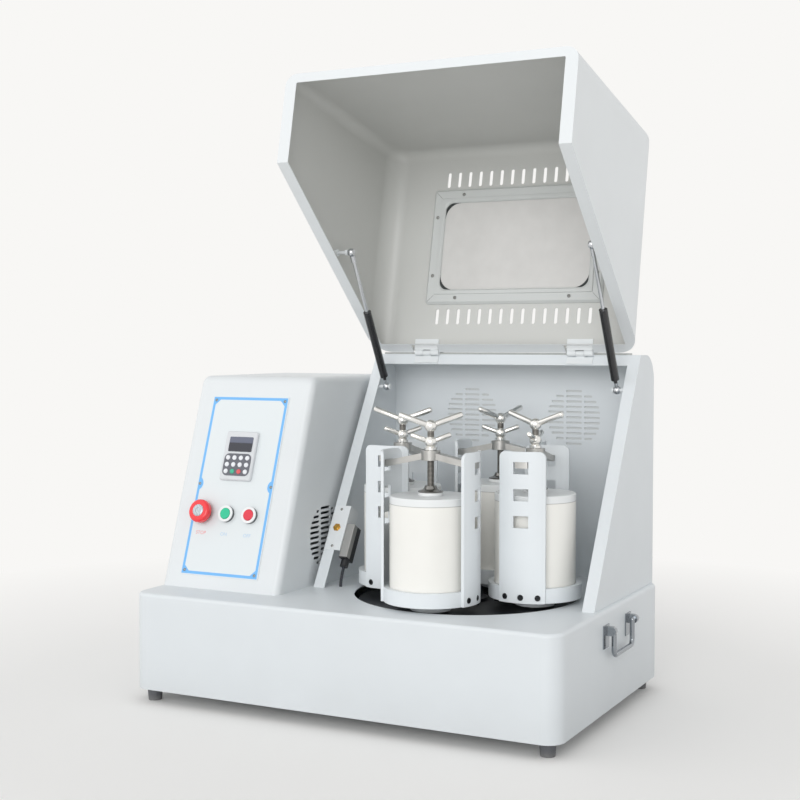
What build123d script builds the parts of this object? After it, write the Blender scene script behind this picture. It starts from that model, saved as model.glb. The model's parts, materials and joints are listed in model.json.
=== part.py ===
from build123d import *
import os
from math import acos, atan2, cos, degrees, hypot, radians, sin, sqrt, tan

# Planetary ball mill with four jar stations, in millimetres and degrees.
# +X is to the right, +Y to the rear, +Z up. The origin is on the floor, under the middle of the whole outline,
# which is the cabinet and the air collar behind it.
# The lid stands open, and the clamps are tightened.

# ---- cabinet -------------------------------------------------------------------------------------------------
BASE_H = 160.0              # cabinet height without feet
BASE_CORNER_R = 28.0        # upright corners
DECK_EDGE_R = 6.0           # folded edge of the deck
SHEET = 2.0                 # wall of every folded shell
FLOOR_T = 4.0               # floor plate
FOOT_H = 22.0
FOOT_R = 13.0
FOOT_INSET = 26.0           # foot axis from both cabinet sides

# ---- milling chamber -----------------------------------------------------------------------------------------
CHAMBER_H = 392.0           # top of the walls above the deck
CHAMBER_SIDE_INSET = 9.0    # right wall from the cabinet's side
CHAMBER_SLANT = 30.29       # slope of the front edge from upright
CHAMBER_TOP_D = 76.0        # level top, from the sloping edge to the rear
CHAMBER_REAR_INSET = 11.0
CHAMBER_REAR_R = 45.0       # rounded top rear corner
FLANGE_W = 20.0             # flange around the sloping opening
VENT_R = 50.0               # round vent fields in the back panel
VENT_SPREAD = 196.0         # between the two fields
VENT_SHIFT = 7.0            # their middle from the panel's, to the right
VENT_DROP = 111.0           # their centres below the top
DUCT_R = 50.0               # cooling air collar, outside radius
DUCT_LENGTH = 52.0
DUCT_X = 69.0               # collar axis from the chamber's left side
DUCT_H = 66.0               # collar axis above the deck
DUCT_FLANGE_W = 12.0

# ---- turntable and planetary drive ---------------------------------------------------------------------------
STATIONS = 4
STATION_PHASE = -93.5       # direction of station 1 from the turntable axis
STATION_GAP = 16.8          # between the straps of neighbouring stations
STATION_ROOM = 47.0         # from the straps' widest swing to the walls, on average
REAR_ROOM = 33.5            # from the straps' widest swing to the back panel
TABLE_SETBACK = 245.0       # turntable axis from the cabinet's front
TABLE_SHIFT = 5.0           # and from the chamber's middle, to the right
TABLE_RIM = 56.0            # turntable's edge beyond the station axes
TABLE_GAP = 7.0             # round the turntable in the deck
TABLE_T = 10.0
TABLE_DROP = 10.0           # turntable face below the deck's
TABLE_HUB_H = 16.0          # hub under the turntable
TABLE_CAP_H = 5.0           # boss on it, round the shaft
MAIN_SHAFT_R = 17.5
SPINDLE_R = 12.5
BEARING_FIT = 0.05          # radial clearance of every shaft in its bearing
BELT_GAP = 0.35             # belt to pulley
BELT_T = 4.0
FLANGE_LIP = 3.0            # pulley flanges above their groove
SUN_R = 60.0                # fixed sun pulley, at the groove
PLANET_R = 30.0             # planet pulleys, at the groove
GROOVE_H = 10.0
GROOVE_RIM = 2.0            # between two grooves
DRIVEN_R = 125.0            # driven pulley on the main shaft
MOTOR_PULLEY_R = 50.0
DRIVE_GROOVE_H = 20.0
FLOOR_CLEAR = 12.0          # driven pulley above the floor plate
PEDESTAL_T = 8.0
PEDESTAL_R = 162.0
PILLAR_R = 11.0
PILLAR_ANGLES = (50.0, 100.0, 260.0, 310.0)
PILLAR_CIRCLE_R = 148.0
HOUSING_R = 42.0            # main bearing housing
STACK_GAP = 6.0             # driven pulley to pedestal, pedestal to sun pulley
PLANET_HOUSING_R = 27.0

# ---- jar stations --------------------------------------------------------------------------------------------
JAR_R = 65.0
JAR_H = 158.0               # with its lid
JAR_LID_T = 12.0
JAR_WALL = 10.0
JAR_SPIGOT = 6.0            # lid's plug in the jar's mouth
JAR_FIT = 1.0               # jar in its seat
SEAT_LIFT = 8.0             # seat above the deck
SEAT_R = 74.5
SEAT_H = 23.0
SEAT_FLOOR = 8.0
HUB_R = 32.0
STRAP_T = 4.0
STRAP_HALF_ANGLE = 28.5
STRAP_H = 236.5
STRAP_CORNER_R = 10.0
STRAP_SEAM = 0.05           # strap on the seat's round side
SLOT_W = 24.5
SLOT_H = 19.0
SLOT_PITCH = 42.0
SLOT_TOP = 16.0             # below the strap's top
FOOT_SCREW_R = 5.0
FOOT_SCREW_ANGLE = 20.0
FOOT_SCREW_H = 9.0          # above the seat's underside
BAR_TURN = 8.0              # clamp bar turned from the tangent
BAR_W = 20.0
BAR_T = 10.0
BAR_RISE = 11.0             # boss above the arms' ends
BOSS_R = 15.5
BOSS_H = 15.0
SCREW_R = 5.5
STEM_R = 4.2
CLAMP_FIT = 0.06            # clamp screw in the boss, lock nut and foot
FOOT_CONE_R = 18.0
FOOT_CONE_H = 15.0          # pressure foot, with its pad
FOOT_PAD_R = 17.0
FOOT_PAD_T = 5.0
FOOT_RIM_T = 2.5
BALL_R = 8.0
HANDLE_LENGTH = 54.0
HANDLE_R = 3.4
HANDLE_RISE = 20.0
HANDLE_TURNS = (35.0, -11.0, 67.0, 12.0)
NUT_TURNS = (30.0, 92.0, 18.0, 40.0)
NUT_HANDLE_LENGTH = 34.0
NUT_HANDLE_R = 2.8
NUT_STANDOFF = 0.3          # lock nut above the boss
NUT_COLLAR_R = 9.5
NUT_COLLAR_H = 5.0
HANDLE_DROP = 25.0          # lock nut's ball below the screw's

# ---- lid -----------------------------------------------------------------------------------------------------
LID_FRONT = 25.0            # closed lid's face from the cabinet's front
LID_OPEN = 102.0            # opening angle
RIM_GAP = 4.5               # lid rim to the chamber's flange
RIM_DECK_GAP = 2.0
RIM_W = 20.0                # lid's rim flange
RIM_FRONT_W = 15.0          # along the front edge
LID_TOP_R = 36.0            # long side folds
LID_EDGE_R = 20.0           # folds round the front
RIM_CORNER_R = 2.5
WINDOW_W = 280.0
WINDOW_H = 160.0
WINDOW_R = 15.0
WINDOW_UP = 192.0           # window centre from the lid's hinge edge
WINDOW_SHIFT = 12.0         # and from the lid's middle, to the right
WINDOW_FRAME_W = 26.0
WINDOW_FRAME_T = 2.0
WINDOW_FRAME_R = 6.0        # its outer corners
POCKET_R = 3.0              # corners of the pane and of its pocket
PANE_T = 4.0
PANE_LAP = 12.0
PANE_FIT = 0.5
SLOT_ROW_N = 15
SLOT_ROW_PITCH = 20.5
SLOT_ROW_SHIFT = 14.0       # rows' middle from the lid's, to the right
SLOT_ROW_W = 6.0
SLOT_ROW_H = 28.0
SLOT_ROW_LOW = 64.0         # row centres from the hinge edge
SLOT_ROW_HIGH = 317.0
LEAF_W = 46.0
LEAF_T = 2.2
LEAF_REACH = 24.0           # leaf under the lid, from the pin
LEAF_EDGE = 1.5             # fixed leaf's lower edge above the rail's
LEAF_SPREAD = 288.0         # between the hinges
KNUCKLE_R = 4.5
HINGE_PIN_R = 2.2
HINGE_FIT = 0.06
KNUCKLE_GAP = 0.2           # from the knuckle to the chamber flange
KNUCKLE_END_GAP = 0.4
LEAF_NOTCH = 2.0            # play of the leaf in the lid's edge
NOTCH_BACK = 11.0           # notch in front of the pin
NOTCH_ROOM = 20.0           # clear space round the pin, behind and above

# ---- gas struts ----------------------------------------------------------------------------------------------
STRUT_INSET = 31.0          # strut axis from the walls' inner faces
STRUT_LOW = (-20.0, -60.4)  # lower stud from the hinge pin, in Y and Z
STRUT_HIGH = (-151.0, 172.6)            # upper stud from the hinge pin, lid open
CYLINDER_R = 7.0
ROD_R = 3.0
ROD_FIT = 0.06
CYLINDER_START = 21.0       # from the lower stud
CYLINDER_LENGTH = 131.0
EYE_R = 7.0
EYE_T = 10.0                # ball eye, across its flats
STUD_R = 3.0
STUD_BASE_R = 6.0
STUD_BASE_T = 5.0
STUD_HEAD_R = 5.0
STUD_HEAD_T = 2.5
STUD_GAP = 0.4              # open pivot between the lid's stud and the rod's eye

# ---- control enclosure ---------------------------------------------------------------------------------------
COVER_W = 232.0
COVER_INSET = 1.0           # from the cabinet's left side
CHAMBER_GAP = 11.0          # to the chamber's left side
COVER_FOOT = 78.0           # foot of its face from the cabinet's front
COVER_SLANT = 19.2
COVER_H = 354.0
COVER_BEND_R = 20.0         # between its face and its top
COVER_EDGE_R = 12.0
COVER_VENT_R = 53.0
COVER_VENT_Y = 236.0        # vent centre from the cabinet's front
COVER_VENT_H = 80.0         # above the deck
PANEL_W = 154.0
PANEL_FOOT = 22.0           # up the sloping face, below the panel
PANEL_HEAD = 37.3           # and above it
PANEL_T = 1.5
PANEL_X = 112.8             # panel centre from the cover's left side
KEYPAD_W = 63.0
KEYPAD_H = 86.0
KEYPAD_T = 6.0
KEYPAD_DEPTH = 30.0
KEYPAD_UP = 230.5
BUTTON_UP = 129.0
BUTTON_PITCH = 46.5
BUTTON_SHIFT = 4.8          # middle button left of the panel's middle
RING_R = 14.0
RING_T = 7.0                # start and stop buttons' rings
ESTOP_RING_T = 3.0
RING_FLOOR = 1.0            # under the cap's room in the ring
CAP_PROUD = 1.5             # cap above its ring
BUTTON_R = 9.5
BUTTON_H = 4.0
BUTTON_TRAVEL = 3.0
ESTOP_R = 20.0
ESTOP_H = 11.0
ESTOP_LIFT = 6.5
ESTOP_TRAVEL = 5.0
STEM_BUTTON_R = 6.0
STEM_DEPTH = 10.0           # stem behind the panel's face
BORE_DEPTH = 20.0
BARREL_R = 9.0              # button barrel behind the panel
BARREL_DEPTH = 26.0
BUTTON_FIT = 0.4

# ---- motor ---------------------------------------------------------------------------------------------------
MOTOR_R = 66.0
MOTOR_H = 236.0
MOTOR_X = 116.5             # motor axis from the cabinet's left side
MOTOR_GAP = 8.0             # motor in the deck's opening
MOTOR_SHAFT_R = 9.5
MOTOR_SHAFT_IN = 25.0       # shaft inside the motor
MOTOR_BORE_END = 5.0        # bore past the shaft's end
MOTOR_PLATE_T = 8.0
MOTOR_PLATE = (160.0, 186.0)
MOTOR_POST_R = 8.0
MOTOR_POST_EDGE = 11.0      # post axes from the plate's edges
MOTOR_STAND_GAP = 14.0      # pulley to motor plate
FAN_COWL_H = 46.0
MOTOR_RIBS = 24

# ---- side handles --------------------------------------------------------------------------------------------
BAIL_PITCH = 110.0          # between the bail's legs
BAIL_DROP = 40.0
BAIL_R = 4.0
BAIL_CORNER_R = 10.0
BAIL_Y = 260.0              # handle centre from the cabinet's front
BAIL_H = 129.0              # bail pivot above the cabinet's underside
LUG_REACH = 11.0            # pivot from the cabinet's side
LUG_R = 7.0
LUG_T = 9.0
LUG_PLATE = (26.0, 36.0)
BAIL_FIT = 0.08
BAIL_END_GAP = 0.5

# ---- lid safety switch ---------------------------------------------------------------------------------------
SWITCH_UP = 110.0           # up the sloping flange
SWITCH_PLATE_H = 82.0
SWITCH_PLATE_W = 28.5
SWITCH_PLATE_T = 1.5
PLUNGER_IN = 15.0           # plunger axis from the wall's outer face
PLUNGER_R = 4.5
PLUNGER_OUT = 2.5
NOTCH_W = 13.0              # plunger's notch in the flange
SWITCH_W = 15.5
SWITCH_H = 62.0
SWITCH_DEPTH = 30.0
SWITCH_DOWN = 22.0          # switch body's middle below the plunger
GLAND_R = 7.0
GLAND_H = 12.0
LEAD_R = 2.5

# ---- places worked out from the sizes ------------------------------------------------------------------------
STRAP_R0 = SEAT_R + STRAP_SEAM
STRAP_R1 = STRAP_R0 + STRAP_T
ORBIT_R = (STRAP_R1 + STATION_GAP / 2) / sin(radians(180.0 / STATIONS))     # station axes from the turntable's
TABLE_R = ORBIT_R + TABLE_RIM
CHAMBER_W = 2 * (ORBIT_R + STRAP_R1 + STATION_ROOM)
BASE_W = COVER_INSET + COVER_W + CHAMBER_GAP + CHAMBER_W + CHAMBER_SIDE_INSET
BASE_D = TABLE_SETBACK + ORBIT_R + STRAP_R1 + REAR_ROOM + SHEET + CHAMBER_REAR_INSET

DECK_Z = FOOT_H + BASE_H
LEFT = -BASE_W / 2
RIGHT = BASE_W / 2
FRONT = -(BASE_D + DUCT_LENGTH - CHAMBER_REAR_INSET) / 2
REAR = FRONT + BASE_D
MID_Y = FRONT + BASE_D / 2
FLOOR_Z = FOOT_H + FLOOR_T

CH_X1 = RIGHT - CHAMBER_SIDE_INSET
CH_X0 = CH_X1 - CHAMBER_W
CH_MID = (CH_X0 + CH_X1) / 2
CH_TOP = DECK_Z + CHAMBER_H
CH_REAR = REAR - CHAMBER_REAR_INSET
CH_TOP_Y = CH_REAR - CHAMBER_TOP_D
CH_FOOT_Y = CH_TOP_Y - CHAMBER_H * tan(radians(CHAMBER_SLANT))
SLOPE = (sin(radians(CHAMBER_SLANT)), cos(radians(CHAMBER_SLANT)))      # up the flange, in Y and Z
OUTWARD = (-SLOPE[1], SLOPE[0])                                         # out of the flange, in Y and Z

TABLE_X = CH_MID + TABLE_SHIFT
TABLE_Y = FRONT + TABLE_SETBACK
TABLE_TOP = DECK_Z - TABLE_DROP
TABLE_UNDER = TABLE_TOP - TABLE_T
DRIVEN_Z0 = FLOOR_Z + FLOOR_CLEAR
DRIVE_H = DRIVE_GROOVE_H + 2 * GROOVE_RIM
PEDESTAL_Z0 = DRIVEN_Z0 + DRIVE_H + STACK_GAP
SUN_Z0 = PEDESTAL_Z0 + PEDESTAL_T + STACK_GAP
LEVEL_PITCH = GROOVE_H + GROOVE_RIM
SUN_H = STATIONS * LEVEL_PITCH + GROOVE_RIM
SHAFT_Z0 = FLOOR_Z + FLOOR_CLEAR / 3

SEAT_Z0 = DECK_Z + SEAT_LIFT
SEAT_Z1 = SEAT_Z0 + SEAT_FLOOR
JAR_TOP = SEAT_Z1 + JAR_H
STRAP_TOP = SEAT_Z0 + STRAP_H
SLOT_TOP_Z = STRAP_TOP - SLOT_TOP
BAR_END_Z1 = SLOT_TOP_Z
BOSS_Z0 = BAR_END_Z1 - BAR_T + BAR_RISE
BOSS_Z1 = BOSS_Z0 + BOSS_H
NUT_BALL_Z = BOSS_Z1 + NUT_STANDOFF + NUT_COLLAR_H + BALL_R
SCREW_BALL_Z = NUT_BALL_Z + HANDLE_DROP

LID_FRONT_Y = FRONT + LID_FRONT
PIN_OUT = KNUCKLE_R + KNUCKLE_GAP
PIN_Y = CH_TOP_Y + OUTWARD[0] * PIN_OUT
PIN_Z = CH_TOP + OUTWARD[1] * PIN_OUT
RIM_SHIFT = RIM_GAP / SLOPE[1]
LID_Z0 = DECK_Z + RIM_DECK_GAP
LID_EDGE_Y = CH_TOP_Y - RIM_SHIFT
LID_HEEL_Y = CH_FOOT_Y + RIM_DECK_GAP * tan(radians(CHAMBER_SLANT)) - RIM_SHIFT
LEAF_XS = (CH_MID - LEAF_SPREAD / 2, CH_MID + LEAF_SPREAD / 2)

STRUT_XS = (CH_X0 + SHEET + STRUT_INSET, CH_X1 - SHEET - STRUT_INSET)
LOW_Y, LOW_Z = PIN_Y + STRUT_LOW[0], PIN_Z + STRUT_LOW[1]
HIGH_Y, HIGH_Z = PIN_Y + STRUT_HIGH[0], PIN_Z + STRUT_HIGH[1]
STRUT_LENGTH = hypot(HIGH_Y - LOW_Y, HIGH_Z - LOW_Z)

COVER_X0 = LEFT + COVER_INSET
COVER_X1 = COVER_X0 + COVER_W
COVER_FOOT_Y = FRONT + COVER_FOOT
COVER_TOP = DECK_Z + COVER_H
PANEL_H = COVER_H / cos(radians(COVER_SLANT)) - PANEL_FOOT - PANEL_HEAD
PANEL_UP = PANEL_FOOT + PANEL_H / 2
FACE = Plane(origin=(COVER_X0, COVER_FOOT_Y, DECK_Z), x_dir=(1, 0, 0),
             z_dir=(0, -cos(radians(COVER_SLANT)), sin(radians(COVER_SLANT))))

MOTOR_AX = LEFT + MOTOR_X
MOTOR_AY = TABLE_Y          # in line with the turntable's


# ---- small helpers -------------------------------------------------------------------------------------------
def save(name, *solids):
    """One STEP file for one named piece or set of like pieces."""
    shape = solids[0] if len(solids) == 1 else Compound(children=list(solids))
    export_step(shape, f"parts/{name}.step")


def block(x0, x1, y0, y1, z0, z1):
    """A box between two corners."""
    return Pos((x0 + x1) / 2, (y0 + y1) / 2, (z0 + z1) / 2) * Box(abs(x1 - x0), abs(y1 - y0), abs(z1 - z0))


def rod(x, y, z0, z1, r):
    """An upright round bar."""
    return Pos(x, y, (z0 + z1) / 2) * Cylinder(r, z1 - z0)


def cone(x, y, z0, z1, r0, r1):
    """An upright cone."""
    return Pos(x, y, (z0 + z1) / 2) * Cone(r0, r1, z1 - z0)


def rod_x(x0, x1, y, z, r):
    """A round bar along X."""
    return Pos((x0 + x1) / 2, y, z) * Rot(0, 90, 0) * Cylinder(r, x1 - x0)


def rod_y(x, y0, y1, z, r):
    """A round bar along Y."""
    return Pos(x, (y0 + y1) / 2, z) * Rot(90, 0, 0) * Cylinder(r, y1 - y0)


def side_plate(x0, x1, points, radii):
    """A plate between x0 and x1 whose outline is given in Y and Z."""
    outline = make_face(FilletPolyline(*points, radius=radii, close=True))
    return extrude(Plane.YZ.offset(x0) * outline, amount=x1 - x0)


def shrink(points, d):
    """The outline of Y, Z points moved inwards by d (a number, or one for each side after its point)."""
    n = len(points)
    gaps = list(d) if isinstance(d, (list, tuple)) else [d] * n
    area = sum(points[i][0] * points[(i + 1) % n][1] - points[(i + 1) % n][0] * points[i][1] for i in range(n))
    turn = 1.0 if area > 0 else -1.0
    lines = []
    for i in range(n):
        (ay, az), (by, bz) = points[i], points[(i + 1) % n]
        length = hypot(by - ay, bz - az)
        ny, nz = -turn * (bz - az) / length, turn * (by - ay) / length
        lines.append((ny, nz, ny * ay + nz * az + gaps[i]))
    corners = []
    for i in range(n):
        n0, n1 = lines[i - 1], lines[i]
        det = n0[0] * n1[1] - n0[1] * n1[0]
        corners.append(((n0[2] * n1[1] - n0[1] * n1[2]) / det, (n0[0] * n1[2] - n0[2] * n1[0]) / det))
    return corners


def vent_slots(radius, slot_h, pitch, columns, stagger=0.0):
    """The slots of a round vent field, as a flat sketch: columns of short slots, every second one staggered."""
    sketch = Sketch()
    column_w = 2 * radius / columns
    rows = int(radius / pitch) + 1
    for column in range(columns):
        for row in range(-rows, rows + 1):
            y = row * pitch + stagger * (column % 2)
            half = sqrt(max(radius * radius - y * y, 0.0))
            x0 = max(-radius + column * column_w + slot_h / 2, -half)
            x1 = min(-radius + (column + 1) * column_w - slot_h / 2, half)
            if x1 - x0 > 1.5 * slot_h:
                sketch += Pos((x0 + x1) / 2, y) * SlotOverall(x1 - x0, slot_h)
    return sketch


def belt(r0, r1, distance, angle, thickness, z0, z1):
    """An open flat belt round a pulley at the origin and one at a distance."""
    beta = acos((r0 - r1) / distance)

    def ring(extra):
        a, b = r0 + extra, r1 + extra
        p0 = (a * cos(beta), a * sin(beta))
        p1 = (distance + b * cos(beta), b * sin(beta))
        far = ThreePointArc(p1, (distance + b, 0), (p1[0], -p1[1]))
        near = ThreePointArc((p0[0], -p0[1]), (-a, 0), p0)
        return make_face([Line(p0, p1), far, Line((p1[0], -p1[1]), (p0[0], -p0[1])), near])

    flat = ring(thickness) - ring(0.0)
    return Pos(0, 0, z0) * Rot(0, 0, angle) * extrude(flat, amount=z1 - z0)


def pulley(x, y, z0, r, groove_h, bore_r):
    """A pulley with one groove between two flanges."""
    body = rod(x, y, z0, z0 + groove_h + 2 * GROOVE_RIM, r + FLANGE_LIP)
    groove = rod(x, y, z0 + GROOVE_RIM, z0 + GROOVE_RIM + groove_h, r + 2 * FLANGE_LIP) \
        - rod(x, y, z0 + GROOVE_RIM, z0 + GROOVE_RIM + groove_h, r)
    return body - groove - rod(x, y, z0 - 1, z0 + groove_h + 2 * GROOVE_RIM + 1, bore_r)


def open_lid(shape):
    """Turn a shape from the closed lid's place to the open lid's."""
    return shape.rotate(Axis((0, PIN_Y, PIN_Z), (1, 0, 0)), -LID_OPEN)


# ---- cabinet -------------------------------------------------------------------------------------------------
def base_housing():
    """Folded cabinet, open below. Its deck has an opening for the turntable and one for the motor."""
    outer = extrude(RectangleRounded(BASE_W, BASE_D, BASE_CORNER_R), amount=BASE_H)
    outer = fillet(outer.faces().sort_by(Axis.Z)[-1].edges(), DECK_EDGE_R)
    inner = extrude(RectangleRounded(BASE_W - 2 * SHEET, BASE_D - 2 * SHEET, BASE_CORNER_R - SHEET),
                    amount=BASE_H - SHEET)
    inner = fillet(inner.faces().sort_by(Axis.Z)[-1].edges(), DECK_EDGE_R - SHEET)
    shell = Pos(0, MID_Y, FOOT_H) * (outer - inner)
    shell -= rod(TABLE_X, TABLE_Y, DECK_Z - 3 * SHEET, DECK_Z + SHEET, TABLE_R + TABLE_GAP)
    shell -= rod(MOTOR_AX, MOTOR_AY, DECK_Z - 3 * SHEET, DECK_Z + SHEET, MOTOR_R + MOTOR_GAP)
    return shell


def base_plate():
    """Floor plate let into the cabinet's lower edge."""
    outline = RectangleRounded(BASE_W - 2 * SHEET, BASE_D - 2 * SHEET, BASE_CORNER_R - SHEET)
    return Pos(0, MID_Y, FOOT_H) * extrude(outline, amount=FLOOR_T)


def feet():
    """Four rubber feet under the floor plate."""
    solids = []
    for sx in (-1, 1):
        for sy in (-1, 1):
            x, y = sx * (BASE_W / 2 - FOOT_INSET), MID_Y + sy * (BASE_D / 2 - FOOT_INSET)
            solids.append(cone(x, y, 0, FOOT_H, FOOT_R * 0.85, FOOT_R))
    return solids


# ---- chamber -------------------------------------------------------------------------------------------------
def wall_outline():
    """Side outline of the chamber in Y and Z, with its corner radii."""
    points = [(CH_FOOT_Y, DECK_Z), (CH_TOP_Y, CH_TOP), (CH_REAR, CH_TOP), (CH_REAR, DECK_Z)]
    return points, [0, 0, CHAMBER_REAR_R, 0]


def rail_band(s0, s1, t0, t1):
    """Y, Z corners of a strip of the sloping opening, s0 to s1 below its top and t0 to t1 out of its face."""
    def spot(down, out):
        return (CH_TOP_Y - down * SLOPE[0] + out * OUTWARD[0], CH_TOP - down * SLOPE[1] + out * OUTWARD[1])

    return [spot(s0, t0), spot(s1, t0), spot(s1, t1), spot(s0, t1)]


def chamber_wall(x_outer, inward):
    """One side wall: a plate with a flange folded inwards along its sloping edge."""
    points, radii = wall_outline()
    back = SHEET / SLOPE[1]
    band = [points[0], points[1], (points[1][0] + back, CH_TOP), (points[0][0] + back, DECK_Z)]
    x_plate = x_outer + inward * SHEET
    x_flange = x_outer + inward * FLANGE_W
    plate = side_plate(min(x_outer, x_plate), max(x_outer, x_plate), points, radii)
    return plate + side_plate(min(x_outer, x_flange), max(x_outer, x_flange), band, 0)


def left_wall():
    """Left side wall, with a notch in its flange for the lid switch's plunger."""
    length = FLANGE_W - PLUNGER_IN + NOTCH_W
    notch = flange_spot((PLUNGER_IN + FLANGE_W) / 2, SWITCH_UP) * Box(length, NOTCH_W, 6 * SHEET)
    return chamber_wall(CH_X0, 1) - notch


def chamber_back():
    """Back panel, rounded over the top and folded down along the sloping opening as the top rail."""
    x0, x1 = CH_X0 + SHEET, CH_X1 - SHEET
    lip = CH_TOP_Y + SHEET / SLOPE[1]
    inner_r = CHAMBER_REAR_R - SHEET
    section = [(lip, CH_TOP), (CH_REAR, CH_TOP), (CH_REAR, DECK_Z), (CH_REAR - SHEET, DECK_Z),
               (CH_REAR - SHEET, CH_TOP - SHEET), (lip - SHEET * tan(radians(CHAMBER_SLANT)), CH_TOP - SHEET)]
    shell = side_plate(x0, x1, section, [0, CHAMBER_REAR_R, 0, 0, inner_r, 0])
    rail = [(CH_TOP_Y, CH_TOP), (lip, CH_TOP)]
    low = rail_band(0, FLANGE_W, 0, -SHEET)
    rail += [low[2], low[1]]
    shell += side_plate(CH_X0 + FLANGE_W, CH_X1 - FLANGE_W, rail, 0)
    rear = Plane(origin=(CH_MID + VENT_SHIFT, CH_REAR + 1, CH_TOP - VENT_DROP), x_dir=(-1, 0, 0),
                 z_dir=(0, 1, 0))
    field = vent_slots(VENT_R, 4.0, 9.3, 3)
    for side in (-1, 1):
        shell -= extrude(rear * Pos(side * VENT_SPREAD / 2, 0) * field, amount=-(SHEET + 2))
    return shell - rod_y(CH_X0 + DUCT_X, CH_REAR - 3 * SHEET, CH_REAR + SHEET, DECK_Z + DUCT_H, DUCT_R - SHEET)


def duct_collar():
    """Collar for the cooling air hose, on the back panel."""
    x, z = CH_X0 + DUCT_X, DECK_Z + DUCT_H
    tube = rod_y(x, CH_REAR, CH_REAR + DUCT_LENGTH, z, DUCT_R)
    tube += rod_y(x, CH_REAR, CH_REAR + SHEET, z, DUCT_R + DUCT_FLANGE_W)
    return tube - rod_y(x, CH_REAR - 1, CH_REAR + DUCT_LENGTH + 1, z, DUCT_R - SHEET)


# ---- hinges and studs ----------------------------------------------------------------------------------------
def frame_leaf(x):
    """Leaf on the chamber's rail. Its middle knuckle holds the pin fast."""
    third = LEAF_W / 3
    a, b = x - third / 2 + KNUCKLE_END_GAP, x + third / 2 - KNUCKLE_END_GAP
    start = KNUCKLE_R + 1.5
    leaf = side_plate(x - LEAF_W / 2, x + LEAF_W / 2, rail_band(start, FLANGE_W - LEAF_EDGE, 0, LEAF_T), 0)
    leaf += side_plate(a, b, rail_band(0, start + 1.0, 0, LEAF_T), 0)
    leaf += rod_x(a, b, PIN_Y, PIN_Z, KNUCKLE_R)
    return leaf + rod_x(x - LEAF_W / 2, x + LEAF_W / 2, PIN_Y, PIN_Z, HINGE_PIN_R)


def lid_leaf(x):
    """Leaf inside the lid, in the closed lid's place. Its two outer knuckles turn on the pin."""
    third = LEAF_W / 3
    z1 = CH_TOP - SHEET
    z0 = z1 - LEAF_T
    near = PIN_Y - KNUCKLE_R - KNUCKLE_END_GAP
    leaf = block(x - LEAF_W / 2, x + LEAF_W / 2, PIN_Y - LEAF_REACH, near, z0, z1)
    for a, b in ((x - LEAF_W / 2, x - third / 2), (x + third / 2, x + LEAF_W / 2)):
        neck = [(near - 1, z0), (near - 1, z1), (PIN_Y - 2.5, PIN_Z + 1), (PIN_Y, PIN_Z - 3)]
        leaf += side_plate(a, b, neck, 0) + rod_x(a, b, PIN_Y, PIN_Z, KNUCKLE_R)
    return leaf - rod_x(x - LEAF_W, x + LEAF_W, PIN_Y, PIN_Z, HINGE_PIN_R + HINGE_FIT)


def stud(x_wall, inward, y, z, reach):
    """A stud on a side wall: hexagon base and shank, ending at reach from the wall."""
    def along(d0, d1, r):
        ends = (x_wall + inward * d0, x_wall + inward * d1)
        return rod_x(min(ends), max(ends), y, z, r)

    return along(0, STUD_BASE_T, STUD_BASE_R) + along(STUD_BASE_T, reach, STUD_R)


def lower_stud(x_wall, inward):
    """Stud that carries a strut's lower eye, with its head beyond the eye."""
    face = STRUT_INSET + EYE_T / 2 + STUD_GAP
    ends = (x_wall + inward * face, x_wall + inward * (face + STUD_HEAD_T))
    head = rod_x(min(ends), max(ends), LOW_Y, LOW_Z, STUD_HEAD_R)
    return stud(x_wall, inward, LOW_Y, LOW_Z, face) + head


def upper_stud(x_wall, inward):
    """Stud on the open lid's side, ending just short of the rod's eye."""
    tip = STRUT_INSET - EYE_T / 2 - STUD_GAP
    ends = (x_wall + inward * (tip - STUD_BASE_T), x_wall + inward * tip)
    collar = rod_x(min(ends), max(ends), HIGH_Y, HIGH_Z, STUD_HEAD_R)
    return stud(x_wall, inward, HIGH_Y, HIGH_Z, tip) + collar


# ---- gas struts ----------------------------------------------------------------------------------------------
def strut_plane(x):
    """Upright frame of a strut: its origin on the lower stud and its Z along the strut."""
    return Plane(origin=(x, LOW_Y, LOW_Z), x_dir=(1, 0, 0), z_dir=(0, HIGH_Y - LOW_Y, HIGH_Z - LOW_Z))


def strut_eye(x, at):
    """Ball eye with two flats, at a place along a strut."""
    return strut_plane(x) * Pos(0, 0, at) * (Sphere(EYE_R) & Box(EYE_T, 4 * EYE_R, 4 * EYE_R))


def strut_cylinder(x):
    """Cylinder with its lower eye, bored for the rod."""
    frame = strut_plane(x)
    tube_at = CYLINDER_START + CYLINDER_LENGTH / 2
    shape = frame * Pos(0, 0, tube_at) * Cylinder(CYLINDER_R, CYLINDER_LENGTH)
    shape += frame * Pos(0, 0, CYLINDER_START / 2) * Cylinder(ROD_R, CYLINDER_START)
    shape += strut_eye(x, 0)
    shape -= frame * Rot(0, 90, 0) * Cylinder(STUD_R + ROD_FIT, 3 * EYE_T)
    bore = CYLINDER_LENGTH - 8.0
    mouth = CYLINDER_START + CYLINDER_LENGTH + 1
    return shape - frame * Pos(0, 0, mouth - (bore + 1) / 2) * Cylinder(ROD_R + ROD_FIT, bore + 1)


def strut_rod(x):
    """Rod with its upper eye, out of the cylinder."""
    frame = strut_plane(x)
    inside = 18.0
    z0 = CYLINDER_START + CYLINDER_LENGTH - inside
    shape = frame * Pos(0, 0, (z0 + STRUT_LENGTH) / 2) * Cylinder(ROD_R, STRUT_LENGTH - z0)
    shape += frame * Pos(0, 0, STRUT_LENGTH - EYE_R - 5) * Cylinder(ROD_R + 1.3, 12)
    return shape + strut_eye(x, STRUT_LENGTH)


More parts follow.
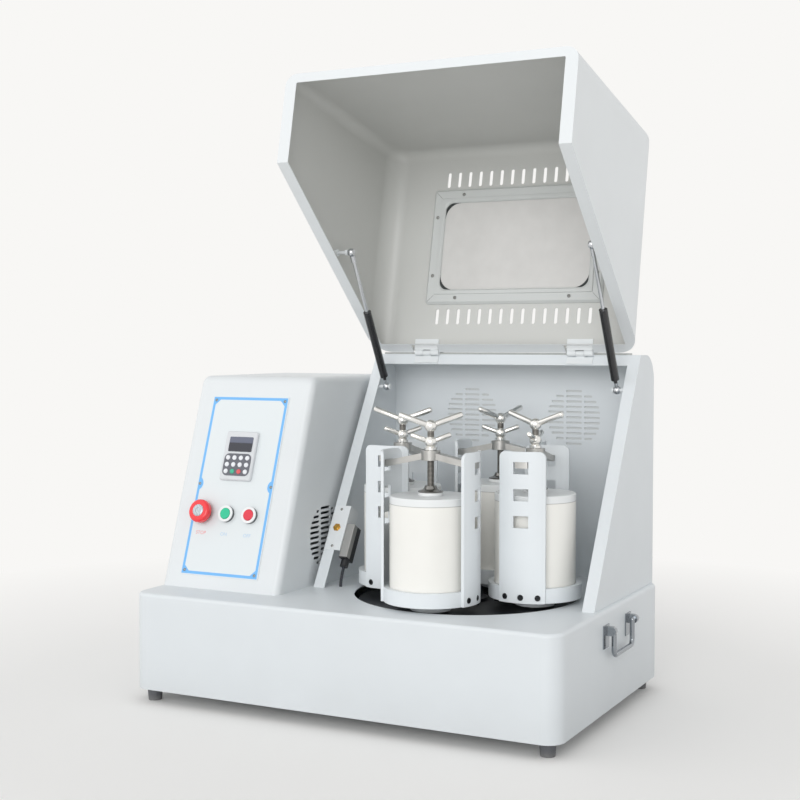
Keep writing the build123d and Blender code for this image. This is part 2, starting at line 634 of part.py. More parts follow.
# ---- lid -----------------------------------------------------------------------------------------------------
def lid_outline():
    """Closed lid's side outline in Y and Z: heel, front foot, front top, hinge edge."""
    return [(LID_HEEL_Y, LID_Z0), (LID_FRONT_Y, LID_Z0), (LID_FRONT_Y, CH_TOP), (LID_EDGE_Y, CH_TOP)]


def lid_block(inset):
    """Solid of the closed lid, drawn in by inset on every side, with its folds rounded."""
    body = side_plate(CH_X0 + inset, CH_X1 - inset, shrink(lid_outline(), inset), 0)
    top_z, front_y = CH_TOP - inset, LID_FRONT_Y + inset
    long_folds = [e for e in body.edges()
                  if abs(e.center().Z - top_z) < 0.1 and abs(e.center().X - CH_MID) > CHAMBER_W / 4]
    body = fillet(long_folds, LID_TOP_R - inset)
    front_folds = [e for e in body.edges() if abs(e.center().Y - front_y) < 0.1 and e.center().Z > LID_Z0 + 9]
    return fillet(front_folds, LID_EDGE_R - inset)


def lid_shell():
    """Folded lid, in its closed place: front, top and two sides, with a rim flange turned inwards."""
    shell = lid_block(0) - lid_block(SHEET)
    open_w = CHAMBER_W - 2 * RIM_W
    slope_length = hypot(LID_EDGE_Y - LID_HEEL_Y, CH_TOP - LID_Z0)
    slope = Plane(origin=(CH_MID, LID_EDGE_Y, CH_TOP), x_dir=(1, 0, 0), z_dir=(0, OUTWARD[0], OUTWARD[1]))
    slope_h = slope_length - RIM_W + RIM_CORNER_R
    hole = slope * Pos(0, -RIM_W - slope_h / 2) * RectangleRounded(open_w, slope_h, RIM_CORNER_R - 0.1)
    shell -= extrude(hole, amount=SHEET + 1) + extrude(hole, amount=-SHEET)
    foot_l = LID_HEEL_Y - LID_FRONT_Y - RIM_FRONT_W + RIM_CORNER_R
    foot = Pos(CH_MID, LID_FRONT_Y + RIM_FRONT_W + foot_l / 2, LID_Z0 - 1)
    shell -= extrude(foot * RectangleRounded(open_w, foot_l, RIM_CORNER_R), amount=SHEET + 2)
    # hinge notches in the rear edge
    for x in LEAF_XS:
        half = LEAF_W / 2 + LEAF_NOTCH
        shell -= block(x - half, x + half, PIN_Y - NOTCH_BACK, PIN_Y + NOTCH_ROOM, PIN_Z - NOTCH_ROOM,
                       PIN_Z + NOTCH_ROOM)
    top = Plane(origin=(CH_MID, LID_EDGE_Y, CH_TOP + 1), x_dir=(1, 0, 0), z_dir=(0, 0, 1))
    window = RectangleRounded(WINDOW_W, WINDOW_H, WINDOW_R)
    shell -= extrude(top * Pos(WINDOW_SHIFT, -WINDOW_UP) * window, amount=-(SHEET + 2))
    slots = Sketch()
    for row in (SLOT_ROW_LOW, SLOT_ROW_HIGH):
        for i in range(SLOT_ROW_N):
            x = SLOT_ROW_SHIFT + (i - (SLOT_ROW_N - 1) / 2) * SLOT_ROW_PITCH
            slots += Pos(x, -row) * Rot(0, 0, 90) * SlotOverall(SLOT_ROW_H, SLOT_ROW_W)
    return shell - extrude(top * slots, amount=-(SHEET + 2))


def window_frame():
    """Frame screwed inside the lid that holds the pane; it steps over the pane's edge."""
    z1 = CH_TOP - SHEET
    plane = Plane(origin=(CH_MID + WINDOW_SHIFT, LID_EDGE_Y - WINDOW_UP, z1), x_dir=(1, 0, 0), z_dir=(0, 0, -1))
    w, h = WINDOW_W + 2 * WINDOW_FRAME_W, WINDOW_H + 2 * WINDOW_FRAME_W
    depth = PANE_T + WINDOW_FRAME_T
    pocket_w, pocket_h = WINDOW_W + 2 * PANE_LAP, WINDOW_H + 2 * PANE_LAP
    frame = extrude(plane * RectangleRounded(w, h, WINDOW_FRAME_R), amount=depth)
    frame = chamfer(frame.faces().sort_by(Axis.Z)[0].edges(), depth - WINDOW_FRAME_T)
    frame -= extrude(plane * RectangleRounded(pocket_w, pocket_h, POCKET_R), amount=PANE_T)
    frame -= extrude(plane * RectangleRounded(WINDOW_W, WINDOW_H, WINDOW_R), amount=depth + 1)
    return frame


def window_pane():
    """Clear pane over the lid's opening."""
    z1 = CH_TOP - SHEET
    plane = Plane(origin=(CH_MID + WINDOW_SHIFT, LID_EDGE_Y - WINDOW_UP, z1), x_dir=(1, 0, 0), z_dir=(0, 0, -1))
    lap = PANE_LAP - PANE_FIT
    return extrude(plane * RectangleRounded(WINDOW_W + 2 * lap, WINDOW_H + 2 * lap, POCKET_R), amount=PANE_T)


# ---- turntable and drive -------------------------------------------------------------------------------------
def station_place(k):
    """Axis of station k and its direction from the turntable's axis."""
    angle = STATION_PHASE + 360.0 / STATIONS * k
    return TABLE_X + ORBIT_R * cos(radians(angle)), TABLE_Y + ORBIT_R * sin(radians(angle)), angle


def turntable_disc():
    """Turntable with a hub for the main shaft and a bore for each spindle."""
    disc = rod(TABLE_X, TABLE_Y, TABLE_UNDER, TABLE_TOP, TABLE_R)
    disc += rod(TABLE_X, TABLE_Y, TABLE_UNDER - TABLE_HUB_H, TABLE_UNDER, HOUSING_R)
    disc += rod(TABLE_X, TABLE_Y, TABLE_TOP, TABLE_TOP + TABLE_CAP_H, 2 * MAIN_SHAFT_R)
    disc -= rod(TABLE_X, TABLE_Y, TABLE_UNDER - 2 * TABLE_HUB_H, TABLE_TOP + 2 * TABLE_CAP_H, MAIN_SHAFT_R)
    for k in range(STATIONS):
        x, y, _ = station_place(k)
        disc -= rod(x, y, TABLE_UNDER - 1, TABLE_TOP + 1, SPINDLE_R + 1.0)
    return disc


def main_shaft():
    """Main shaft, from under the driven pulley to the turntable's face."""
    return rod(TABLE_X, TABLE_Y, SHAFT_Z0, TABLE_TOP + 3, MAIN_SHAFT_R)


def driven_pulley():
    """Large pulley on the main shaft."""
    return pulley(TABLE_X, TABLE_Y, DRIVEN_Z0, DRIVEN_R, DRIVE_GROOVE_H, MAIN_SHAFT_R)


def planet_housing(k):
    """Bearing housing of one spindle, under the turntable."""
    x, y, _ = station_place(k)
    z0 = SUN_Z0 + SUN_H + 2.0
    body = rod(x, y, z0, TABLE_UNDER, PLANET_HOUSING_R)
    return body - rod(x, y, z0 - 1, TABLE_UNDER + 1, SPINDLE_R + BEARING_FIT)


def level_z(k):
    """Underside of the groove that station k's belt runs in."""
    return SUN_Z0 + GROOVE_RIM + k * LEVEL_PITCH


def planet_belt(k):
    """Belt from the fixed sun pulley to one planet pulley, at its own level."""
    _, _, angle = station_place(k)
    shape = belt(SUN_R + BELT_GAP, PLANET_R + BELT_GAP, ORBIT_R, angle, BELT_T, level_z(k) + 0.5,
                 level_z(k) + GROOVE_H - 0.5)
    return Pos(TABLE_X, TABLE_Y, 0) * shape


def bearing_pedestal():
    """Plate on four pillars that carries the main bearing housing."""
    z0, z1 = PEDESTAL_Z0, PEDESTAL_Z0 + PEDESTAL_T
    body = rod(TABLE_X, TABLE_Y, z0, z1, PEDESTAL_R)
    for angle in PILLAR_ANGLES:
        x = TABLE_X + PILLAR_CIRCLE_R * cos(radians(angle))
        y = TABLE_Y + PILLAR_CIRCLE_R * sin(radians(angle))
        body += rod(x, y, FLOOR_Z, z0, PILLAR_R)
    body += rod(TABLE_X, TABLE_Y, z1, SUN_Z0, HOUSING_R + 8)
    body += rod(TABLE_X, TABLE_Y, z1, TABLE_UNDER - 18, HOUSING_R - 8)
    return body - rod(TABLE_X, TABLE_Y, z0 - 1, TABLE_UNDER, MAIN_SHAFT_R + BEARING_FIT)


def sun_pulley():
    """Fixed pulley with one groove for each station's belt, on the bearing housing."""
    body = rod(TABLE_X, TABLE_Y, SUN_Z0, SUN_Z0 + SUN_H, SUN_R + FLANGE_LIP)
    for k in range(STATIONS):
        z0, z1 = level_z(k), level_z(k) + GROOVE_H
        body -= rod(TABLE_X, TABLE_Y, z0, z1, SUN_R + 2 * FLANGE_LIP) - rod(TABLE_X, TABLE_Y, z0, z1, SUN_R)
    return body - rod(TABLE_X, TABLE_Y, SUN_Z0 - 1, SUN_Z0 + SUN_H + 1, HOUSING_R - 8)


def drive_belt():
    """Belt from the motor pulley to the driven pulley."""
    dx, dy = MOTOR_AX - TABLE_X, MOTOR_AY - TABLE_Y
    z0 = DRIVEN_Z0 + GROOVE_RIM + 1.0
    shape = belt(DRIVEN_R + BELT_GAP, MOTOR_PULLEY_R + BELT_GAP, hypot(dx, dy), degrees(atan2(dy, dx)), BELT_T,
                 z0, z0 + DRIVE_GROOVE_H - 2.0)
    return Pos(TABLE_X, TABLE_Y, 0) * shape


def motor():
    """Upright motor on its stand: plate with four posts, ribbed body, fan cowl."""
    z0 = DRIVEN_Z0 + DRIVE_H + MOTOR_STAND_GAP
    z1 = z0 + MOTOR_PLATE_T
    body_top = z1 + MOTOR_H - FAN_COWL_H
    stand = Pos(MOTOR_AX, MOTOR_AY, (z0 + z1) / 2) * Box(MOTOR_PLATE[0], MOTOR_PLATE[1], MOTOR_PLATE_T)
    for sx in (-1, 1):
        for sy in (-1, 1):
            x = MOTOR_AX + sx * (MOTOR_PLATE[0] / 2 - MOTOR_POST_EDGE)
            y = MOTOR_AY + sy * (MOTOR_PLATE[1] / 2 - MOTOR_POST_EDGE)
            stand += rod(x, y, FLOOR_Z, z0, MOTOR_POST_R)
    body = rod(MOTOR_AX, MOTOR_AY, z1, body_top, MOTOR_R - 4)
    body += rod(MOTOR_AX, MOTOR_AY, body_top, z1 + MOTOR_H, MOTOR_R)
    for i in range(MOTOR_RIBS):
        rib = block(MOTOR_R - 8, MOTOR_R - 1, -1.2, 1.2, z1 + 12, body_top)
        body += Pos(MOTOR_AX, MOTOR_AY, 0) * Rot(0, 0, 360.0 / MOTOR_RIBS * i) * rib
    bore_top = z1 + MOTOR_SHAFT_IN + MOTOR_BORE_END
    return stand + body - rod(MOTOR_AX, MOTOR_AY, z0 - 1, bore_top, MOTOR_SHAFT_R + BEARING_FIT)


def motor_pulley():
    """Motor pulley with its shaft."""
    shape = pulley(MOTOR_AX, MOTOR_AY, DRIVEN_Z0, MOTOR_PULLEY_R, DRIVE_GROOVE_H, MOTOR_SHAFT_R - 0.5)
    top = DRIVEN_Z0 + DRIVE_H + MOTOR_STAND_GAP + MOTOR_PLATE_T + MOTOR_SHAFT_IN
    return shape + rod(MOTOR_AX, MOTOR_AY, DRIVEN_Z0, top, MOTOR_SHAFT_R)


# ---- jar stations --------------------------------------------------------------------------------------------
def jar_seat(k):
    """Cup with its hub, spindle and planet pulley, turned as one."""
    x, y, _ = station_place(k)
    cup = rod(x, y, SEAT_Z0, SEAT_Z0 + SEAT_H, SEAT_R)
    cup -= rod(x, y, SEAT_Z1, SEAT_Z0 + SEAT_H + 1, JAR_R + JAR_FIT)
    cup += rod(x, y, TABLE_TOP + 4.0, SEAT_Z0, HUB_R)
    cup += rod(x, y, level_z(k) - GROOVE_RIM, SEAT_Z0, SPINDLE_R)
    return cup + pulley(x, y, level_z(k) - GROOVE_RIM, PLANET_R, GROOVE_H, SPINDLE_R - 1)


def bar_angle(k):
    """Direction of station k's clamp bar."""
    return station_place(k)[2] + 90.0 + BAR_TURN


def strap(k, side):
    """One upright strap: a length of tube wall with three slots, screwed to the seat's side."""
    x, y, _ = station_place(k)
    half = STRAP_HALF_ANGLE
    ring = rod(0, 0, SEAT_Z0, STRAP_TOP, STRAP_R1) - rod(0, 0, SEAT_Z0 - 1, STRAP_TOP + 1, STRAP_R0)
    chord = 2 * STRAP_R1 * sin(radians(half))
    mask = Plane.YZ * Pos(0, (SEAT_Z0 + STRAP_TOP) / 2) * RectangleRounded(chord, STRAP_H, STRAP_CORNER_R)
    square = Plane.YZ * Pos(0, SEAT_Z0 + STRAP_H / 4) * Rectangle(chord, STRAP_H / 2)
    shape = ring & extrude(mask + square, amount=STRAP_R1 + 10)
    for i in range(3):
        z = SLOT_TOP_Z - SLOT_H / 2 - i * SLOT_PITCH
        shape -= block(STRAP_R0 / 2, 2 * STRAP_R1, -SLOT_W / 2, SLOT_W / 2, z - SLOT_H / 2, z + SLOT_H / 2)
    for i in (-1, 0, 1):
        turn = Rot(0, 0, i * FOOT_SCREW_ANGLE)
        hole = Pos(STRAP_R1, 0, SEAT_Z0 + FOOT_SCREW_H) * Rot(0, 90, 0) * Cylinder(FOOT_SCREW_R, 3.0)
        shape -= turn * hole
    return Pos(x, y, 0) * Rot(0, 0, bar_angle(k) + side) * shape


def jar(k):
    """Grinding jar, open at the top."""
    x, y, _ = station_place(k)
    z1 = JAR_TOP - JAR_LID_T
    body = rod(x, y, SEAT_Z1, z1, JAR_R)
    body = fillet(body.faces().sort_by(Axis.Z)[0].edges(), 3.0)
    return body - rod(x, y, SEAT_Z1 + JAR_WALL, z1 + 1, JAR_R - JAR_WALL)


def jar_lid(k):
    """Jar lid with a plug in the jar's mouth."""
    x, y, _ = station_place(k)
    z0 = JAR_TOP - JAR_LID_T
    lid = rod(x, y, z0, JAR_TOP, JAR_R)
    lid = fillet(lid.faces().sort_by(Axis.Z)[-1].edges(), 2.0)
    return lid + rod(x, y, z0 - JAR_SPIGOT, z0, JAR_R - JAR_WALL - 0.5)


def clamp_bar(k):
    """Gull-wing bar: a bored boss and two arms that end in the straps' top slots."""
    x, y, _ = station_place(k)
    end = STRAP_R1 - 1.5
    knee = BOSS_R - 3
    root_z0 = BOSS_Z0 + (BOSS_H - BAR_T) / 2 - 1.5
    end_z0 = BAR_END_Z1 - BAR_T
    flat = 10.0
    points = [(-end, end_z0), (-end + flat, end_z0), (-knee, root_z0), (knee, root_z0), (end - flat, end_z0),
              (end, end_z0), (end, end_z0 + BAR_T), (end - flat, end_z0 + BAR_T), (knee, root_z0 + BAR_T),
              (-knee, root_z0 + BAR_T), (-end + flat, end_z0 + BAR_T), (-end, end_z0 + BAR_T)]
    outline = make_face(Polyline(*points, close=True))
    arms = extrude(Plane.XZ.offset(-BAR_W / 2) * outline, amount=BAR_W)
    body = arms + rod(0, 0, BOSS_Z0, BOSS_Z1, BOSS_R)
    body = body & rod(0, 0, end_z0 - 1, BOSS_Z1 + 1, end)
    body -= rod(0, 0, BOSS_Z0 - 20, BOSS_Z1 + 1, SCREW_R + CLAMP_FIT)
    return Pos(x, y, 0) * Rot(0, 0, bar_angle(k)) * body


def handle_arms(z, length, r, turn):
    """Ball with two arms that rise outwards."""
    shape = Pos(0, 0, z) * Sphere(BALL_R)
    for side in (0, 180):
        arm = Rot(0, 0, side) * Rot(0, 90 - HANDLE_RISE, 0) * Pos(0, 0, length / 2) * Cylinder(r, length)
        shape += Pos(0, 0, z) * arm
    return Rot(0, 0, turn) * shape


def clamp_screw(k):
    """Clamp screw with its handle. Its tip stands in the pressure foot."""
    x, y, _ = station_place(k)
    tip = JAR_TOP + 7.0
    shape = rod(0, 0, tip, NUT_BALL_Z + BALL_R + 3, SCREW_R) + rod(0, 0, NUT_BALL_Z, SCREW_BALL_Z, STEM_R)
    return Pos(x, y, 0) * (shape + handle_arms(SCREW_BALL_Z, HANDLE_LENGTH, HANDLE_R, HANDLE_TURNS[k]))


def lock_nut(k):
    """Lock nut: a bored ball with a collar and two short arms."""
    x, y, _ = station_place(k)
    z0 = BOSS_Z1 + NUT_STANDOFF
    shape = handle_arms(NUT_BALL_Z, NUT_HANDLE_LENGTH, NUT_HANDLE_R, NUT_TURNS[k])
    shape += rod(0, 0, z0, z0 + NUT_COLLAR_H, NUT_COLLAR_R) + rod(0, 0, z0, NUT_BALL_Z, BALL_R - 1)
    shape -= rod(0, 0, z0 - 1, NUT_BALL_Z + 2 * BALL_R, SCREW_R + CLAMP_FIT)
    return Pos(x, y, 0) * shape


def clamp_foot(k):
    """Pressure foot: a cone with a socket for the screw, on a round pad."""
    x, y, _ = station_place(k)
    z0 = JAR_TOP
    rim_z1 = z0 + FOOT_PAD_T + FOOT_RIM_T
    shape = rod(x, y, z0, z0 + FOOT_PAD_T, FOOT_PAD_R)
    shape += rod(x, y, z0 + FOOT_PAD_T, rim_z1, FOOT_CONE_R)
    shape += cone(x, y, rim_z1, z0 + FOOT_CONE_H, FOOT_CONE_R - 1, BALL_R + 1)
    return shape - rod(x, y, z0 + 7.0 - 0.3, z0 + FOOT_CONE_H + 1, SCREW_R + CLAMP_FIT)


# ---- control enclosure ---------------------------------------------------------------------------------------
def cover_outline():
    """Control cover's side outline in Y and Z."""
    top_y = COVER_FOOT_Y + COVER_H * tan(radians(COVER_SLANT))
    return [(COVER_FOOT_Y, DECK_Z), (top_y, COVER_TOP), (CH_REAR, COVER_TOP), (CH_REAR, DECK_Z)]


def on_face(x, up):
    """A spot on the cover's sloping face, x from its left side and up from its foot."""
    return FACE * Pos(x, up, 0)


BUTTON_XS = tuple(PANEL_X - BUTTON_SHIFT + i * BUTTON_PITCH for i in (-1, 0, 1))


def cover_block(inset):
    """Solid of the control cover, drawn in by inset, with its folds rounded."""
    bend = COVER_BEND_R - inset
    body = side_plate(COVER_X0 + inset, COVER_X1 - inset, shrink(cover_outline(), [inset, inset, inset, 0]),
                      [0, bend, bend, 0])
    sides = (COVER_X0 + inset, COVER_X1 - inset)
    folds = [e for e in body.edges()
             if min(abs(e.center().X - x) for x in sides) < 0.1 and e.center().Z > DECK_Z + 1]
    return fillet(folds, COVER_EDGE_R - inset)


def control_cover():
    """Folded cover, open below, with cut-outs for keypad and buttons and a vent field in its right side."""
    shell = cover_block(0) - cover_block(SHEET)
    shell -= on_face(PANEL_X, KEYPAD_UP) * Box(KEYPAD_W - 6, KEYPAD_H - 6, 20)
    for x in BUTTON_XS:
        shell -= on_face(x, BUTTON_UP) * Cylinder(BARREL_R + BUTTON_FIT, 20)
    side = Plane(origin=(COVER_X1 + 1, FRONT + COVER_VENT_Y, DECK_Z + COVER_VENT_H), x_dir=(0, 1, 0),
                 z_dir=(1, 0, 0))
    return shell - extrude(side * vent_slots(COVER_VENT_R, 4.4, 8.8, 3, 4.4), amount=-(SHEET + 2))


def control_panel():
    """Panel plate on the cover's face."""
    plate = on_face(PANEL_X, PANEL_UP) * Pos(0, 0, PANEL_T / 2) * Box(PANEL_W, PANEL_H, PANEL_T)
    plate -= on_face(PANEL_X, KEYPAD_UP) * Box(KEYPAD_W - 6, KEYPAD_H - 6, 20)
    for x in BUTTON_XS:
        plate -= on_face(x, BUTTON_UP) * Cylinder(BARREL_R + BUTTON_FIT, 20)
    return plate


def keypad():
    """Inverter keypad: a bezel on the panel and a body behind it."""
    bezel = extrude(RectangleRounded(KEYPAD_W, KEYPAD_H, 4.0), amount=KEYPAD_T)
    bezel = chamfer(bezel.faces().sort_by(Axis.Z)[-1].edges(), 1.5)
    spot = on_face(PANEL_X, KEYPAD_UP) * Pos(0, 0, PANEL_T)
    body = spot * Pos(0, 0, -KEYPAD_DEPTH / 2) * Box(KEYPAD_W - 8, KEYPAD_H - 8, KEYPAD_DEPTH)
    return spot * bezel + body


def button_collar(x, ring_t):
    """Ring on the panel with its threaded barrel, bored for the button's stem."""
    spot = on_face(x, BUTTON_UP) * Pos(0, 0, PANEL_T)
    ring = spot * Pos(0, 0, ring_t / 2) * Cylinder(RING_R, ring_t)
    barrel = spot * Pos(0, 0, -BARREL_DEPTH / 2) * Cylinder(BARREL_R, BARREL_DEPTH)
    bore = Pos(0, 0, ESTOP_RING_T - BORE_DEPTH / 2) * Cylinder(STEM_BUTTON_R + BUTTON_FIT, BORE_DEPTH + 1)
    return ring + barrel - spot * bore


def cap_collar(x):
    """A tall ring with a round hollow that the button's cap sinks into."""
    room = Pos(0, 0, (RING_FLOOR + 2 * RING_T) / 2) * Cylinder(BUTTON_R + BUTTON_FIT, 2 * RING_T - RING_FLOOR)
    return button_collar(x, RING_T) - on_face(x, BUTTON_UP) * Pos(0, 0, PANEL_T) * room


def push_button(x):
    """Round push button in its ring."""
    spot = on_face(x, BUTTON_UP) * Pos(0, 0, PANEL_T)
    z0 = RING_T + CAP_PROUD - BUTTON_H
    cap = Pos(0, 0, z0 + BUTTON_H / 2) * Cylinder(BUTTON_R, BUTTON_H)
    cap = fillet(cap.faces().sort_by(Axis.Z)[-1].edges(), 1.2)
    stem = Pos(0, 0, (z0 - STEM_DEPTH) / 2) * Cylinder(STEM_BUTTON_R, z0 + STEM_DEPTH)
    return spot * (cap + stem)


def stop_mushroom(x):
    """Mushroom-headed emergency stop button."""
    spot = on_face(x, BUTTON_UP) * Pos(0, 0, PANEL_T)
    z0 = ESTOP_RING_T + ESTOP_LIFT
    head = Pos(0, 0, z0 + ESTOP_H / 2) * Cylinder(ESTOP_R, ESTOP_H)
    head = fillet(head.faces().sort_by(Axis.Z)[-1].edges(), 5.0)
    stem = Pos(0, 0, (z0 - STEM_DEPTH) / 2) * Cylinder(STEM_BUTTON_R, z0 + STEM_DEPTH)
    return spot * (head + stem)


# ---- side handles --------------------------------------------------------------------------------------------
def handle_lugs(side):
    """Two wall plates with ears for the bail, on one side of the cabinet."""
    wall = side * BASE_W / 2
    y_mid, z = FRONT + BAIL_Y, FOOT_H + BAIL_H
    solids = []
    for end in (-1, 1):
        y = y_mid + end * (BAIL_PITCH / 2)
        plate = block(min(wall, wall + side * 2.0), max(wall, wall + side * 2.0), y - LUG_PLATE[0] / 2,
                      y + LUG_PLATE[0] / 2, z - LUG_PLATE[1] + LUG_R + 2, z + LUG_R + 2)
        x1 = wall + side * LUG_REACH
        ear = block(min(wall, x1), max(wall, x1), y - LUG_T / 2, y + LUG_T / 2, z - LUG_R, z + LUG_R)
        ear += rod_y(x1, y - LUG_T / 2, y + LUG_T / 2, z, LUG_R)
        solids.append(plate + ear - rod_y(x1, y - LUG_T, y + LUG_T, z, BAIL_R + BAIL_FIT))
    return solids


def handle_bail(side):
    """Folding bail: a grip, two legs and two pins that turn in the ears."""
    x = side * (BASE_W / 2 + LUG_REACH)
    y_mid, z = FRONT + BAIL_Y, FOOT_H + BAIL_H
    inner = BAIL_PITCH / 2 - LUG_T / 2 - BAIL_END_GAP - BAIL_R
    path = FilletPolyline((x, y_mid - inner, z), (x, y_mid - inner, z - BAIL_DROP),
                          (x, y_mid + inner, z - BAIL_DROP), (x, y_mid + inner, z), radius=BAIL_CORNER_R)
    start = Plane(origin=(x, y_mid - inner, z), z_dir=(0, 0, -1))
    bar = sweep(start * Circle(BAIL_R), path=path)
    for end in (-1, 1):
        y0 = y_mid + end * inner
        y1 = y_mid + end * (BAIL_PITCH / 2 + LUG_T / 2)
        bar += rod_y(x, min(y0, y1), max(y0, y1), z, BAIL_R)
        bar += Pos(x, y0, z) * Sphere(BAIL_R)
    return bar


# ---- lid safety switch ---------------------------------------------------------------------------------------
def flange_spot(x, up):
    """A spot on the left flange's face: Z out of the flange, Y up its slope."""
    plane = Plane(origin=(CH_X0, CH_FOOT_Y, DECK_Z), x_dir=(1, 0, 0), z_dir=(0, OUTWARD[0], OUTWARD[1]))
    return plane * Pos(x, up, 0)


def switch_bracket():
    """Plate on the left flange, drilled for the plunger, with a leg that the switch is screwed to."""
    x0 = SHEET + 1.0
    plate = flange_spot(x0 + SWITCH_PLATE_W / 2, SWITCH_UP) * Pos(0, 0, SWITCH_PLATE_T / 2) \
        * Box(SWITCH_PLATE_W, SWITCH_PLATE_H, SWITCH_PLATE_T)
    leg = flange_spot(x0 + SWITCH_PLATE_W - SWITCH_PLATE_T / 2, SWITCH_UP) \
        * Pos(0, 0, SWITCH_PLATE_T - SWITCH_DEPTH / 2) * Box(SWITCH_PLATE_T, SWITCH_PLATE_H, SWITCH_DEPTH)
    return plate + leg - flange_spot(PLUNGER_IN, SWITCH_UP) * Cylinder(PLUNGER_R + BUTTON_FIT, 12)


SWITCH_X = SHEET + 1.0 + SWITCH_PLATE_W + SWITCH_W / 2      # switch body's middle from the wall's outer face
SWITCH_LOW = SWITCH_UP - SWITCH_DOWN - SWITCH_H / 2         # switch body's lower end, up the flange


def limit_switch():
    """Switch body beside the bracket's leg, with its gland below."""
    depth = SWITCH_DEPTH - 4.0
    middle = flange_spot(SWITCH_X, SWITCH_UP - SWITCH_DOWN) * Pos(0, 0, SWITCH_PLATE_T - 2.0 - depth / 2)
    body = middle * Box(SWITCH_W, SWITCH_H, depth)
    body = fillet(body.edges().filter_by(Axis.X, reverse=True), 1.5)
    gland = middle * Pos(0, -SWITCH_H / 2 - GLAND_H / 2, 0) * Rot(90, 0, 0) * Cylinder(GLAND_R, GLAND_H)
    return body + gland


def switch_lead():
    """Short lead from the gland into the deck."""
    depth = SWITCH_DEPTH - 4.0
    start = (flange_spot(SWITCH_X, SWITCH_LOW - GLAND_H) * Pos(0, 0, SWITCH_PLATE_T - 2.0 - depth / 2)).position
    z_turn = DECK_Z + 14.0
    y_turn = start.Y - (start.Z - z_turn) * tan(radians(CHAMBER_SLANT))
    path = FilletPolyline((start.X, start.Y, start.Z), (start.X, y_turn, z_turn), (start.X, y_turn, DECK_Z),
                          radius=8)
    return sweep(Plane(origin=path @ 0, z_dir=path % 0) * Circle(LEAD_R), path=path)


def plunger():
    """Plunger through the bracket and the flange."""
    spot = flange_spot(PLUNGER_IN, SWITCH_UP)
    depth = 10.0
    tip = SWITCH_PLATE_T + PLUNGER_OUT
    shape = Pos(0, 0, (tip - depth) / 2) * Cylinder(PLUNGER_R, tip + depth)
    return spot * fillet(shape.faces().sort_by(Axis.Z)[-1].edges(), 1.2)


# ---- one file for each piece ---------------------------------------------------------------------------------
os.makedirs("parts", exist_ok=True)

save("base_housing", base_housing())
save("base_plate", base_plate())
save("rubber_feet", *feet())
save("chamber_left_wall", left_wall())
save("chamber_right_wall", chamber_wall(CH_X1, -1))
save("chamber_back_panel", chamber_back())
save("duct_collar", duct_collar())
save("frame_hinges_and_studs", *[frame_leaf(x) for x in LEAF_XS], lower_stud(CH_X0 + SHEET, 1),
     lower_stud(CH_X1 - SHEET, -1))
save("control_cover", control_cover())
save("control_panel", control_panel())
save("drive_keypad", keypad())
save("button_collars", button_collar(BUTTON_XS[0], ESTOP_RING_T), cap_collar(BUTTON_XS[1]),
     cap_collar(BUTTON_XS[2]))
save("handle_lugs", *handle_lugs(-1), *handle_lugs(1))
save("switch_bracket", switch_bracket())
save("limit_switch", limit_switch())
save("switch_lead", switch_lead())
save("switch_plunger", plunger())
save("bearing_pedestal", bearing_pedestal(), sun_pulley())
save("drive_motor", motor())
save("drive_belt", drive_belt())
save("motor_pulley", motor_pulley())

save("turntable_disc", turntable_disc())
save("main_shaft", main_shaft(), driven_pulley())
save("planet_bearings", *[planet_housing(k) for k in range(STATIONS)])
save("planet_belts", *[planet_belt(k) for k in range(STATIONS)])
for k in range(STATIONS):
    save(f"pot_holder_{k + 1}", jar_seat(k), strap(k, 0), strap(k, 180))
    save(f"jar_{k + 1}", jar(k), jar_lid(k))
    save(f"clamp_bar_{k + 1}", clamp_bar(k))
    save(f"clamp_foot_{k + 1}", clamp_foot(k))
    save(f"clamp_screw_{k + 1}", clamp_screw(k))
    save(f"lock_nut_{k + 1}", lock_nut(k))

save("lid_shell", open_lid(lid_shell()))
save("window_frame", open_lid(window_frame()))
save("window_pane", open_lid(window_pane()))
save("lid_hinges_and_studs", *[open_lid(lid_leaf(x)) for x in LEAF_XS], upper_stud(CH_X0 + SHEET, 1),
     upper_stud(CH_X1 - SHEET, -1))
save("strut_cylinders", *[strut_cylinder(x) for x in STRUT_XS])
save("strut_rods", *[strut_rod(x) for x in STRUT_XS])

save("estop_button", stop_mushroom(BUTTON_XS[0]))
save("start_button", push_button(BUTTON_XS[1]))
save("stop_button", push_button(BUTTON_XS[2]))
save("handle_bail_left", handle_bail(-1))
save("handle_bail_right", handle_bail(1))
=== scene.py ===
import json
from math import cos, pi, radians, sin
import bmesh
import bpy
from mathutils import Matrix, Vector


